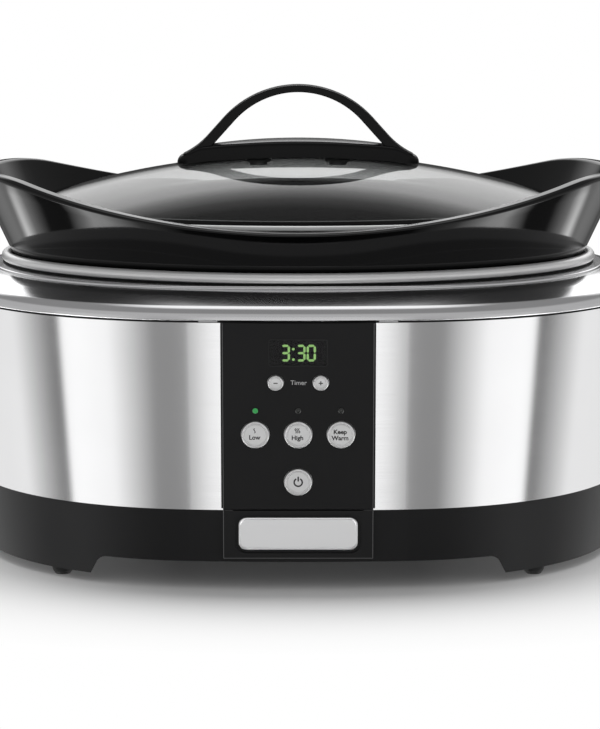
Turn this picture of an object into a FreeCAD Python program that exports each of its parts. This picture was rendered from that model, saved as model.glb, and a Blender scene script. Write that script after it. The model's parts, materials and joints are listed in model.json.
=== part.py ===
"""Oval programmable slow cooker with a lift-out crock, a glass lid and six push buttons.

Millimetres, +Z up, +X to the right, the control panel towards -Y. The origin is on the
table, under the middle of the cooker.
"""
import FreeCAD
import Part
import Sketcher
import math
import os
from FreeCAD import Placement, Rotation, Vector

SIZES = {
    # Housing plan: four arcs whose centres are the same at every height
    "side_arc_offset": 45,
    "front_arc_offset": 480,
    "band_top_radius": 145,
    "wall_lean": 6,
    # Housing heights, from the table up
    "foot_height": 5,
    "skirt_height": 38,
    "band_height": 98,
    "shoulder_seam": 2.6,
    "shoulder_height": 15.1,
    # Base pan
    "skirt_wall": 2.5,
    "lip_height": 4,
    "floor_lift": 10,
    "floor_thickness": 2.5,
    "arch_land": 8.5,
    "arch_flank_run": 5,
    "arch_corner": 6,
    "vent_length": 34,
    "vent_width": 4,
    "vent_pitch": 10,
    "vent_count": 5,
    "vent_place": 55,
    # Rubber feet and their bosses
    "foot_inset_along": 49.7,
    "foot_inset_across": 41.5,
    "foot_radius": 5.7,
    "foot_tip_radius": 4,
    "foot_bulge": 6,
    "foot_boss_radius": 8,
    "foot_stem_radius": 2.5,
    "foot_stem_height": 6,
    # Sheet metal
    "band_sheet": 0.8,
    "shoulder_sheet": 1,
    "shoulder_overhang": 1.5,
    "shoulder_tuck": 4,
    "shoulder_lap": 12.5,
    "crown_width": 22,
    "crown_slope": 22,
    "shoulder_edge_radius": 7,
    "bead_width": 6,
    "bead_height": 6,
    # Stoneware crock
    "crock_inset_along": 39.5,
    "crock_inset_across": 37.1,
    "crock_draft_inset": 18,
    "crock_floor": 10,
    "crock_wall": 10,
    "crock_heel_radius": 14,
    "collar_step": 6.5,
    "collar_flare": 25,
    "collar_wall": 9,
    "ledge_height": 26,
    "rim_low_rise": 0.3,
    "rim_dip_radius": 540,
    "rim_crest_inset": 7,
    "rim_crest_radius": 80,
    "rim_round": 3,
    # Heating well and what is fixed to it
    "well_lift": 10,
    "well_gap": 3.5,
    "well_sheet": 1,
    "well_flange": 4.5,
    "heater_lift": 22,
    "heater_height": 45,
    "heater_thickness": 3,
    "fuse_radius": 2.5,
    "fuse_length": 16,
    "fuse_lift": 92,
    "stud_radius": 3,
    "stud_collar_radius": 8,
    "stud_tail": 6,
    "nut_half_width": 5,
    "nut_height": 4,
    # Control panel; the shares say how far up the panel a row of openings lies
    "panel_seam": 0.4,
    "panel_proud": 1,
    "panel_half_width": 39,
    "panel_head_gap": 0.95,
    "panel_plate": 1.8,
    "panel_round": 0.8,
    "panel_frame_half_width": 33.5,
    "panel_frame_inset": 2.5,
    "panel_frame_wall": 2,
    "panel_frame_depth": 4,
    "window_half_width": 15,
    "window_height": 13.8,
    "window_corner": 1.2,
    "window_share": 0.8417,
    "window_flange": 2,
    "window_flange_depth": 1,
    "window_recess": 0.3,
    "display_half_width": 13,
    "led_share": 0.5351,
    "led_lens_radius": 1.5,
    "led_body_radius": 2.4,
    "led_proud": 0.3,
    # Buttons
    "adjust_share": 0.6834,
    "adjust_pitch": 23.2,
    "adjust_radius": 4.35,
    "mode_share": 0.4068,
    "mode_pitch": 22.1,
    "mode_radius": 7.5,
    "power_share": 0.1523,
    "power_radius": 7.5,
    "button_gap": 0.35,
    "button_proud": 1,
    "button_dish": 0.5,
    "button_edge": 0.5,
    "button_flange": 1.2,
    "button_flange_depth": 1,
    "button_travel": 0.8,
    "stem_radius": 1.8,
    # Control board
    "board_setback": 13,
    "board_thickness": 1.6,
    "board_half_width": 30.5,
    "board_end_inset": 3.5,
    "boss_place": 27,
    "boss_end_inset": 8,
    "boss_radius": 3.2,
    "screw_radius": 1.1,
    "screw_head_radius": 2.5,
    "screw_head_height": 1.8,
    "screw_depth": 7,
    "switch_half_width": 3,
    "switch_height": 3.5,
    "plunger_radius": 1.6,
    "plunger_height": 1.5,
    # Badge plate
    "facet_lift": 2.1,
    "recess_half_width": 32.8,
    "recess_head_margin": 2.15,
    "recess_foot_margin": 2.95,
    "recess_corner": 6,
    "recess_depth": 1,
    "badge_margin": 1.9,
    "badge_thickness": 1.4,
    # Power board
    "power_board_half_length": 48,
    "power_board_width": 22,
    "power_board_setback": 4,
    "power_board_lift": 5,
    "post_radius": 3,
    "post_inset": 5,
    "relay_length": 20,
    "relay_width": 15,
    "relay_height": 15,
    "relay_place": -25,
    "core_length": 26,
    "core_width": 14,
    "core_height": 18,
    "coil_length": 16,
    "coil_width": 20,
    "coil_lift": 3,
    "coil_height": 12,
    "transformer_place": 18,
    # Cord gland
    "gland_half_width": 7,
    "gland_lip": 2,
    "gland_flange": 2.2,
    "cord_radius": 3.75,
    # Glass lid
    "lid_clearance": 1.5,
    "lid_edge": 2.7,
    "lid_land": 8,
    "lid_rise": 27.5,
    "glass_thickness": 3.5,
    "screw_hole_radius": 4,
    # Lid handle
    "handle_half_length": 67,
    "handle_end_half_width": 9,
    "handle_half_width": 18,
    "handle_base_rise": 8,
    "handle_shoulder": 54,
    "handle_tip_radius": 5,
    "handle_tip_slope": 25,
    "handle_rise": 39,
    "strap_thickness": 3.3,
    "strap_half_width": 7.5,
    "strap_outer_radius": 48.3,
    "strap_slope": 45,
    "strap_knee_rise": 2.9,
    "strap_foot_radius": 43,
    "handle_screw_place": 22,
    "handle_screw_radius": 2,
    "handle_screw_head_radius": 5,
    "handle_screw_head_height": 2,
    "handle_screw_depth": 5,
    "washer_radius": 7,
    "washer_thickness": 1.5,
    # Fits
    "seat_gap": 0.3,
    "slip_gap": 0.2,
}

doc = FreeCAD.newDocument("slow_cooker")
sheet = doc.addObject("Spreadsheet::Sheet", "Sizes")
for row, (alias, value) in enumerate(SIZES.items(), start=1):
    sheet.set(f"A{row}", alias)
    sheet.set(f"B{row}", str(value))
    sheet.setAlias(f"B{row}", alias)
doc.recompute()

bodies = []


def number(expression):
    """Work out an expression over the sheet's sizes."""
    return float(sheet.evalExpression(expression))


# Heights that several pieces share
BAND_FOOT = "(Sizes.foot_height + Sizes.skirt_height)"
BAND_HEAD = f"({BAND_FOOT} + Sizes.band_height)"
SHOULDER_FOOT = f"({BAND_HEAD} + Sizes.shoulder_seam)"
SHOULDER_TOP = f"({SHOULDER_FOOT} + Sizes.shoulder_height)"
FLOOR_FOOT = "(Sizes.foot_height + Sizes.floor_lift)"
FLOOR_TOP = f"({FLOOR_FOOT} + Sizes.floor_thickness)"
FLANGE_TOP = f"({SHOULDER_TOP} + Sizes.well_sheet)"
COLLAR_FOOT = f"({FLANGE_TOP} + Sizes.seat_gap)"
WELL_FOOT = f"({FLOOR_TOP} + Sizes.well_lift)"
WELL_FLOOR = f"({WELL_FOOT} + Sizes.well_sheet)"
CROCK_FOOT = f"({WELL_FLOOR} + Sizes.well_gap)"
CAVITY_FOOT = f"({CROCK_FOOT} + Sizes.crock_floor)"
LEDGE = f"({COLLAR_FOOT} + Sizes.ledge_height)"
RIM_LOW = f"({LEDGE} + Sizes.rim_low_rise)"
LID_FOOT = f"({LEDGE} + Sizes.seat_gap)"
DOME_FOOT = f"({LID_FOOT} + Sizes.lid_edge)"
DOME_TOP = f"({DOME_FOOT} + Sizes.lid_rise)"
HANDLE_TOP = f"({DOME_TOP} + Sizes.handle_rise)"

# Plan sizes that several pieces share
ARC_SPAN = "sqrt(Sizes.side_arc_offset^2 + Sizes.front_arc_offset^2)"
FRONT_EXTRA = f"({ARC_SPAN} - Sizes.front_arc_offset)"
CROCK_LENGTH = "(Sizes.band_top_radius + Sizes.side_arc_offset - Sizes.crock_inset_along)"
CROCK_DEPTH = f"(Sizes.band_top_radius + {FRONT_EXTRA} - Sizes.crock_inset_across)"
COLLAR_LENGTH = f"({CROCK_LENGTH} + Sizes.collar_step)"
COLLAR_DEPTH = f"({CROCK_DEPTH} + Sizes.collar_step)"
WELL_LENGTH = f"({CROCK_LENGTH} + Sizes.well_gap)"
WELL_DEPTH = f"({CROCK_DEPTH} + Sizes.well_gap)"
FLANGE_LENGTH = f"({WELL_LENGTH} + Sizes.well_flange)"
FLANGE_DEPTH = f"({WELL_DEPTH} + Sizes.well_flange)"
BEAD_LENGTH = f"({FLANGE_LENGTH} + Sizes.seat_gap + Sizes.bead_width / 2)"
BEAD_DEPTH = f"({FLANGE_DEPTH} + Sizes.seat_gap + Sizes.bead_width / 2)"
RECESS_LENGTH = f"({COLLAR_LENGTH} + Sizes.ledge_height * tan(Sizes.collar_flare) - Sizes.collar_wall)"
RECESS_DEPTH = f"({COLLAR_DEPTH} + Sizes.ledge_height * tan(Sizes.collar_flare) - Sizes.collar_wall)"
LID_LENGTH = f"({RECESS_LENGTH} - Sizes.lid_clearance)"
LID_DEPTH = f"({RECESS_DEPTH} - Sizes.lid_clearance)"
CROCK_LEAN = f"atan(Sizes.crock_draft_inset / ({COLLAR_FOOT} - {CROCK_FOOT}))"
WELL_LEAN = f"atan(Sizes.crock_draft_inset / ({SHOULDER_TOP} - {WELL_FOOT}))"
BOARD_BACK = "(Sizes.board_setback + Sizes.board_thickness)"
DOME_STEPS = (1, 0.8, 0.6, 0.4, 0.2)
CORNERS = ((-1, -1), (1, -1), (1, 1), (-1, 1))


def wall_radius(height):
    """Side-arc radius of the leaning outer wall at a height."""
    return f"(Sizes.band_top_radius - ({BAND_HEAD} - {height}) * tan(Sizes.wall_lean))"


def front(radius):
    """Distance from the middle to the front of an oval with this side-arc radius."""
    return f"({radius} + {FRONT_EXTRA})"


PANEL_FOOT = f"({BAND_FOOT} + Sizes.panel_seam)"
PANEL_FRONT = f"({front(wall_radius(PANEL_FOOT))} + Sizes.panel_proud)"
PANEL_HEIGHT = f"(({SHOULDER_FOOT} - Sizes.panel_head_gap - {PANEL_FOOT}) / cos(Sizes.wall_lean))"
WINDOW_UP = f"({PANEL_HEIGHT} * Sizes.window_share)"
ADJUST_UP = f"({PANEL_HEIGHT} * Sizes.adjust_share)"
LED_UP = f"({PANEL_HEIGHT} * Sizes.led_share)"
MODE_UP = f"({PANEL_HEIGHT} * Sizes.mode_share)"
POWER_UP = f"({PANEL_HEIGHT} * Sizes.power_share)"
FACET_DROP = f"(({PANEL_FOOT} - {FLOOR_FOOT} - Sizes.facet_lift) / cos(Sizes.wall_lean))"
RECESS_HEAD = "(-Sizes.recess_head_margin)"
RECESS_FOOT = f"(Sizes.recess_foot_margin - {FACET_DROP})"
FOOT_ALONG = f"({wall_radius('Sizes.foot_height')} + Sizes.side_arc_offset - Sizes.foot_inset_along)"
FOOT_ACROSS = f"({front(wall_radius('Sizes.foot_height'))} - Sizes.foot_inset_across)"


def new_body(label):
    """Start a sub-part whose label is its file name."""
    body = doc.addObject("PartDesign::Body", label)
    body.Label = label
    bodies.append(body)
    return body


def panel_body(label, across="0", up="0"):
    """Start a sub-part in the panel's leaning frame, whose front plane is y = 0."""
    body = new_body(label)
    body.Placement = Placement(Vector(), Rotation(Vector(1, 0, 0), number("Sizes.wall_lean")))
    body.setExpression("Placement.Rotation.Angle", "Sizes.wall_lean")
    body.setExpression("Placement.Base.x", across)
    body.setExpression("Placement.Base.y", f"-{PANEL_FRONT} - sin(Sizes.wall_lean) * {up}")
    body.setExpression("Placement.Base.z", f"{PANEL_FOOT} + cos(Sizes.wall_lean) * {up}")
    return body


def new_sketch(body, name, role, lift="0"):
    """Start a sketch on one of the body's origin planes, moved along its normal."""
    plane = next(item for item in body.Origin.OriginFeatures if item.Role == role)
    sketch = body.newObject("Sketcher::SketchObject", name)
    sketch.AttachmentSupport = [(plane, "")]
    sketch.MapMode = "FlatFace"
    sketch.setExpression("AttachmentOffset.Base.z", lift)
    return sketch


def bind(sketch, kind, *parts, to):
    """Add a constraint whose value is an expression."""
    index = sketch.addConstraint(Sketcher.Constraint(kind, *parts, number(to)))
    sketch.setExpression(f"Constraints[{index}]", to)


def pin(sketch, edge, vertex, across, up):
    """Hold a point of an edge at a place measured from the sketch's origin."""
    bind(sketch, "DistanceX", -1, 1, edge, vertex, to=across)
    bind(sketch, "DistanceY", -1, 1, edge, vertex, to=up)


def arc_between(start, end, radius, turn):
    """The shorter arc from start to end, turning left (1) or right (-1)."""
    chord = end - start
    side = Vector(-chord.y, chord.x, 0).normalize()
    rise = math.sqrt(max(radius ** 2 - (chord.Length / 2) ** 2, 0))
    centre = (start + end) * 0.5 + side * rise * turn
    first, last = (start, end) if turn > 0 else (end, start)
    angles = [math.atan2(spot.y - centre.y, spot.x - centre.x) for spot in (first, last)]
    return Part.ArcOfCircle(Part.Circle(centre, Vector(0, 0, 1), radius), *angles)


def draw_path(sketch, points):
    """Draw a closed chain; a point is (x, y), or (x, y, radius, turn) when an arc leads to it."""
    spots = [Vector(number(point[0]), number(point[1]), 0) for point in points]
    first = sketch.GeometryCount
    for index, point in enumerate(points):
        if len(point) == 2:
            sketch.addGeometry(Part.LineSegment(spots[index - 1], spots[index]))
        else:
            arc = arc_between(spots[index - 1], spots[index], number(point[2]), point[3])
            sketch.addGeometry(arc)
    for index, point in enumerate(points):
        following = points[(index + 1) % len(points)]
        edge = first + index
        next_edge = first + (index + 1) % len(points)
        end_vertex = 1 if point[-1] == -1 else 2
        start_vertex = 2 if following[-1] == -1 else 1
        sketch.addConstraint(Sketcher.Constraint("Coincident", edge, end_vertex, next_edge, start_vertex))
        pin(sketch, edge, end_vertex, point[0], point[1])
        if len(point) > 2:
            bind(sketch, "Radius", edge, to=point[2])


def draw_rectangle(sketch, left, low, right, high):
    """Draw an upright rectangle."""
    draw_path(sketch, [(left, low), (right, low), (right, high), (left, high)])


def draw_rounded(sketch, half_width, low, high, corner):
    """Draw a rectangle with round corners, centred across."""
    inner = f"({half_width} - {corner})"
    draw_path(sketch, [
        (f"-{inner}", low, corner, 1),
        (inner, low),
        (half_width, f"{low} + {corner}", corner, 1),
        (half_width, f"{high} - {corner}"),
        (inner, high, corner, 1),
        (f"-{inner}", high),
        (f"-{half_width}", f"{high} - {corner}", corner, 1),
        (f"-{half_width}", f"{low} + {corner}"),
    ])


def draw_oval(sketch, radius):
    """Draw the housing's four-arc oval, starting at the middle of its front."""
    joint_across = f"(Sizes.side_arc_offset * (1 + {radius} / {ARC_SPAN}))"
    joint_along = f"(Sizes.front_arc_offset * {radius} / {ARC_SPAN})"
    long_radius = f"({radius} + {ARC_SPAN})"
    draw_path(sketch, [
        (joint_across, f"-{joint_along}", long_radius, 1),
        (joint_across, joint_along, radius, 1),
        ("0", front(radius), long_radius, 1),
        (f"-{joint_across}", joint_along, long_radius, 1),
        (f"-{joint_across}", f"-{joint_along}", radius, 1),
        ("0", f"-{front(radius)}", long_radius, 1),
    ])


def draw_circle(sketch, across, up, radius):
    """Draw a circle."""
    spot = Vector(number(across), number(up), 0)
    edge = sketch.addGeometry(Part.Circle(spot, Vector(0, 0, 1), number(radius)))
    pin(sketch, edge, 3, across, up)
    bind(sketch, "Radius", edge, to=radius)


def draw_ellipse(sketch, half_length, half_depth):
    """Draw an ellipse on the sketch's origin."""
    shape = Part.Ellipse(Vector(), number(half_length), number(half_depth))
    edge = sketch.addGeometry(shape)
    sketch.exposeInternalGeometry(edge)
    sketch.addConstraint(Sketcher.Constraint("Coincident", edge, 3, -1, 1))
    sketch.addConstraint(Sketcher.Constraint("Horizontal", edge + 1))
    bind(sketch, "Distance", edge + 1, to=f"2 * {half_length}")
    bind(sketch, "Distance", edge + 2, to=f"2 * {half_depth}")


def pad(body, name, sketch, length, backward=False, symmetric=False):
    """Raise a sketch into a solid."""
    feature = body.newObject("PartDesign::Pad", name)
    feature.Profile = sketch
    feature.setExpression("Length", length)
    feature.Reversed = backward
    if symmetric:
        feature.SideType = "Symmetric"
    return feature


def pocket(body, name, sketch, length, backward=False, symmetric=False):
    """Cut a sketch out of the solid."""
    feature = body.newObject("PartDesign::Pocket", name)
    feature.Profile = sketch
    feature.setExpression("Length", length)
    feature.Reversed = backward
    if symmetric:
        feature.SideType = "Symmetric"
    return feature


def sweep(body, name, profile, spine):
    """Carry a profile round a closed plan curve."""
    feature = body.newObject("PartDesign::AdditivePipe", name)
    feature.Profile = profile
    feature.Spine = (spine, [f"Edge{index + 1}" for index in range(len(spine.Shape.Edges))])
    return feature


def revolve(body, name, sketch):
    """Turn a profile about its sketch's upright axis."""
    feature = body.newObject("PartDesign::Revolution", name)
    feature.Profile = sketch
    feature.ReferenceAxis = (sketch, ["V_Axis"])
    feature.Angle = 360
    return feature


def oval_sweep(body, name, points):
    """Carry a profile of (side-arc radius, height) points round the housing's oval."""
    spine = new_sketch(body, f"{name}_path", "XY_Plane", BAND_HEAD)
    draw_oval(spine, "Sizes.band_top_radius")
    profile = new_sketch(body, f"{name}_profile", "YZ_Plane")
    draw_path(profile, [(f"-{front(point[0])}", *point[1:]) for point in points])
    doc.recompute()
    return sweep(body, name, profile, spine)


def ellipse_sweep(body, name, half_length, half_depth, points):
    """Carry a profile of (distance outside the ellipse, height) points round an ellipse."""
    spine = new_sketch(body, f"{name}_path", "XY_Plane", points[0][1])
    draw_ellipse(spine, half_length, half_depth)
    profile = new_sketch(body, f"{name}_profile", "XZ_Plane")
    draw_path(profile, [(f"{half_length} + {point[0]}", *point[1:]) for point in points])
    doc.recompute()
    return sweep(body, name, profile, spine)


def heel(reach, foot, lean, radius):
    """Where a round heel leaves a flat floor, and where it meets a wall that leans outward."""
    centre = f"({reach} + {radius} * tan({lean}) - {radius} / cos({lean}))"
    on_wall = (f"({centre} + {radius} * cos({lean}))", f"({foot} + {radius} * (1 - sin({lean})))")
    return (centre, foot), on_wall


def ellipse_loft(body, name, sections, cut=False):
    """Join ellipses of (half length, half depth, height) into a solid, or cut it away."""
    sketches = []
    for index, (half_length, half_depth, height) in enumerate(sections):
        sketch = new_sketch(body, f"{name}_section_{index + 1}", "XY_Plane", height)
        draw_ellipse(sketch, half_length, half_depth)
        sketches.append(sketch)
    kind = "SubtractiveLoft" if cut else "AdditiveLoft"
    feature = body.newObject(f"PartDesign::{kind}", name)
    feature.Profile = sketches[0]
    feature.Sections = sketches[1:]
    return feature


def slab(body, name, draw, start, depth):
    """Raise what draw puts on the upright XZ plane at y = start, backwards by a depth."""
    sketch = new_sketch(body, f"{name}_outline", "XZ_Plane", f"-({start})")
    draw(sketch)
    return pad(body, name, sketch, depth, backward=True)


def round_slab(body, name, radius, start, depth):
    """Raise a circle about the body's own front-to-back axis."""
    return slab(body, name, lambda sketch: draw_circle(sketch, "0", "0", radius), start, depth)


def disc(body, name, radius, foot, height):
    """Raise a circle about the body's upright axis."""
    sketch = new_sketch(body, f"{name}_outline", "XY_Plane", foot)
    draw_circle(sketch, "0", "0", radius)
    return pad(body, name, sketch, height)


def round_edges(body, name, radius, chosen):
    """Round the edges of the body's last feature for which chosen(edge) holds."""
    doc.recompute()
    base = body.Tip
    names = [f"Edge{index + 1}" for index, edge in enumerate(base.Shape.Edges) if chosen(edge)]
    feature = body.newObject("PartDesign::Fillet", name)
    feature.Base = (base, names)
    feature.setExpression("Radius", radius)
    return feature


def make_base_pan():
    """Plastic base: leaning skirt, raised floor, foot bosses, arches, front facet and cord notch."""
    body = new_body("base_pan")
    lip_gap = "(Sizes.band_sheet + Sizes.seat_gap)"
    lip_top = f"({BAND_FOOT} + Sizes.lip_height)"
    oval_sweep(body, "skirt", [
        (wall_radius("Sizes.foot_height"), "Sizes.foot_height"),
        (wall_radius(BAND_FOOT), BAND_FOOT),
        (f"({wall_radius(BAND_FOOT)} - {lip_gap})", BAND_FOOT),
        (f"({wall_radius(lip_top)} - {lip_gap})", lip_top),
        (f"({wall_radius(lip_top)} - Sizes.skirt_wall)", lip_top),
        (f"({wall_radius('Sizes.foot_height')} - Sizes.skirt_wall)", "Sizes.foot_height"),
    ])
    floor = new_sketch(body, "floor_outline", "XY_Plane", FLOOR_FOOT)
    draw_oval(floor, f"({wall_radius(FLOOR_FOOT)} - Sizes.skirt_wall / 2)")
    pad(body, "floor", floor, "Sizes.floor_thickness")
    bosses = new_sketch(body, "foot_boss_outline", "XY_Plane", "Sizes.foot_height")
    for along, across in CORNERS:
        draw_circle(bosses, f"{along} * {FOOT_ALONG}", f"{across} * {FOOT_ACROSS}", "Sizes.foot_boss_radius")
    pad(body, "foot_bosses", bosses, "Sizes.floor_lift")
    posts = new_sketch(body, "board_post_outline", "XY_Plane", FLOOR_TOP)
    for along, across in power_board_posts():
        draw_circle(posts, along, across, "Sizes.post_radius")
    pad(body, "board_posts", posts, "Sizes.power_board_lift")
    facet = new_sketch(body, "facet_side", "YZ_Plane")
    facet_foot = f"({FLOOR_FOOT} + Sizes.facet_lift)"
    facet_front = f"({PANEL_FRONT} - sin(Sizes.wall_lean) * {FACET_DROP})"
    facet_rise = f"({BAND_FOOT} - {facet_foot})"
    facet_head = f"({facet_front} + {facet_rise} * tan(Sizes.wall_lean))"
    draw_path(facet, [
        (f"-{facet_front}", facet_foot),
        (f"-{facet_front} + Sizes.skirt_wall + Sizes.panel_proud", facet_foot),
        (f"-{facet_head} + Sizes.skirt_wall + Sizes.panel_proud", BAND_FOOT),
        (f"-{facet_head}", BAND_FOOT),
    ])
    pad(body, "facet", facet, "2 * Sizes.panel_half_width", symmetric=True)
    recess = new_sketch(body, "recess_outline", "XZ_Plane")
    recess.AttachmentOffset = Placement(Vector(), Rotation(Vector(1, 0, 0), number("Sizes.wall_lean")))
    recess.setExpression("AttachmentOffset.Rotation.Angle", "Sizes.wall_lean")
    recess.setExpression("AttachmentOffset.Base.y", PANEL_FOOT)
    recess.setExpression("AttachmentOffset.Base.z", PANEL_FRONT)
    draw_rounded(recess, "Sizes.recess_half_width", RECESS_FOOT, RECESS_HEAD, "Sizes.recess_corner")
    pocket(body, "recess", recess, "Sizes.recess_depth")
    arch = new_sketch(body, "arch_outline", "XZ_Plane")
    arch_foot = f"({FOOT_ALONG} - Sizes.foot_boss_radius - Sizes.arch_land)"
    arch_head = f"({arch_foot} - Sizes.arch_flank_run)"
    flank = "atan(Sizes.floor_lift / Sizes.arch_flank_run)"
    trim = f"(Sizes.arch_corner * tan({flank} / 2))"
    on_flank = (f"({arch_head} + {trim} * cos({flank}))", f"({FLOOR_FOOT} - {trim} * sin({flank}))")
    on_head = f"({arch_head} - {trim})"
    draw_path(arch, [
        (f"-{arch_foot}", "Sizes.foot_height"),
        (arch_foot, "Sizes.foot_height"),
        on_flank,
        (on_head, FLOOR_FOOT, "Sizes.arch_corner", 1),
        (f"-{on_head}", FLOOR_FOOT),
        (f"-{on_flank[0]}", on_flank[1], "Sizes.arch_corner", 1),
    ])
    pocket(body, "arch", arch, f"4 * {front('Sizes.band_top_radius')}", symmetric=True)
    notch = new_sketch(body, "cord_notch_outline", "XZ_Plane")
    half = "(Sizes.gland_half_width + Sizes.slip_gap)"
    draw_path(notch, [
        (f"-{half}", f"{BAND_FOOT} - Sizes.gland_half_width"),
        ("0", f"{BAND_FOOT} - Sizes.gland_half_width - {half}", half, 1),
        (half, f"{BAND_FOOT} - Sizes.gland_half_width", half, 1),
        (half, f"{BAND_FOOT} + 2 * Sizes.lip_height"),
        (f"-{half}", f"{BAND_FOOT} + 2 * Sizes.lip_height"),
    ])
    pocket(body, "cord_notch", notch, f"2 * {front('Sizes.band_top_radius')}")
    stems = new_sketch(body, "foot_stem_holes", "XY_Plane", "Sizes.foot_height")
    for along, across in CORNERS:
        draw_circle(stems, f"{along} * {FOOT_ALONG}", f"{across} * {FOOT_ACROSS}",
                    "Sizes.foot_stem_radius + Sizes.slip_gap")
    pocket(body, "foot_stems", stems, "Sizes.foot_stem_height + Sizes.seat_gap", backward=True)
    stud = new_sketch(body, "stud_hole", "XY_Plane", FLOOR_FOOT)
    draw_circle(stud, "0", "0", "Sizes.stud_radius + Sizes.slip_gap")
    pocket(body, "stud_clearance", stud, "Sizes.floor_thickness", backward=True)
    gap = new_sketch(body, "panel_gap_outline", "XZ_Plane")
    gap_half = "(Sizes.panel_frame_half_width + Sizes.seat_gap)"
    draw_rectangle(gap, f"-{gap_half}", BAND_FOOT, gap_half, f"{BAND_FOOT} + 2 * Sizes.lip_height")
    pocket(body, "panel_gap", gap, f"2 * {front('Sizes.band_top_radius')}", backward=True)
    vent = new_sketch(body, "vent_outline", "XY_Plane", FLOOR_FOOT)
    vent_span = "(Sizes.vent_pitch * (Sizes.vent_count - 1))"
    for side in (-1, 1):
        middle = f"({side} * Sizes.vent_place - {vent_span} / 2)"
        draw_rectangle(vent, f"{middle} - Sizes.vent_width / 2", "-Sizes.vent_length / 2",
                       f"{middle} + Sizes.vent_width / 2", "Sizes.vent_length / 2")
    vents = pocket(body, "vents", vent, "Sizes.floor_thickness", backward=True)
    doc.recompute()
    row_of_vents = body.newObject("PartDesign::LinearPattern", "vent_rows")
    row_of_vents.Originals = [vents]
    row_of_vents.Direction = (vent, ["H_Axis"])
    row_of_vents.setExpression("Length", vent_span)
    row_of_vents.setExpression("Occurrences", "Sizes.vent_count")
    body.Tip = row_of_vents


def power_board_posts():
    """Places of the four posts that carry the power board."""
    across = f"({power_board_middle()})"
    reach = "(Sizes.power_board_width / 2 - Sizes.post_inset)"
    span = "(Sizes.power_board_half_length - Sizes.post_inset)"
    return [(f"{along} * {span}", f"{across} + {side} * {reach}") for along, side in CORNERS]


def power_board_middle():
    """Distance of the power board's middle line from the cooker's middle, towards the panel."""
    wall = f"({front(wall_radius(FLOOR_TOP))} - Sizes.skirt_wall)"
    return f"-({wall} - Sizes.power_board_setback - Sizes.power_board_width / 2)"


def make_feet():
    """Four rubber feet, each with a stem pressed up into its boss."""
    for along, across in CORNERS:
        ends = ("front" if across < 0 else "back", "left" if along < 0 else "right")
        body = new_body("rubber_foot_%s_%s" % ends)
        body.setExpression("Placement.Base.x", f"{along} * {FOOT_ALONG}")
        body.setExpression("Placement.Base.y", f"{across} * {FOOT_ACROSS}")
        profile = new_sketch(body, f"{body.Name}_profile", "XZ_Plane")
        draw_path(profile, [
            ("0", "0"),
            ("Sizes.foot_tip_radius", "0"),
            ("Sizes.foot_radius", "Sizes.foot_height", "Sizes.foot_bulge", 1),
            ("Sizes.foot_stem_radius", "Sizes.foot_height"),
            ("Sizes.foot_stem_radius", "Sizes.foot_height + Sizes.foot_stem_height"),
            ("0", "Sizes.foot_height + Sizes.foot_stem_height"),
        ])
        revolve(body, f"{body.Name}_turned", profile)


def make_band():
    """Stainless side band that leans with the wall and is open behind the panel."""
    body = new_body("steel_band")
    oval_sweep(body, "band", [
        (wall_radius(BAND_FOOT), BAND_FOOT),
        (wall_radius(BAND_HEAD), BAND_HEAD),
        (f"({wall_radius(BAND_HEAD)} - Sizes.band_sheet)", BAND_HEAD),
        (f"({wall_radius(BAND_FOOT)} - Sizes.band_sheet)", BAND_FOOT),
    ])
    opening = new_sketch(body, "band_opening_outline", "XZ_Plane")
    half = "(Sizes.panel_frame_half_width + Sizes.seat_gap)"
    draw_rectangle(opening, f"-{half}", BAND_FOOT, half, BAND_HEAD)
    pocket(body, "band_opening", opening, f"2 * {front('Sizes.band_top_radius')}", backward=True)


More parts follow.
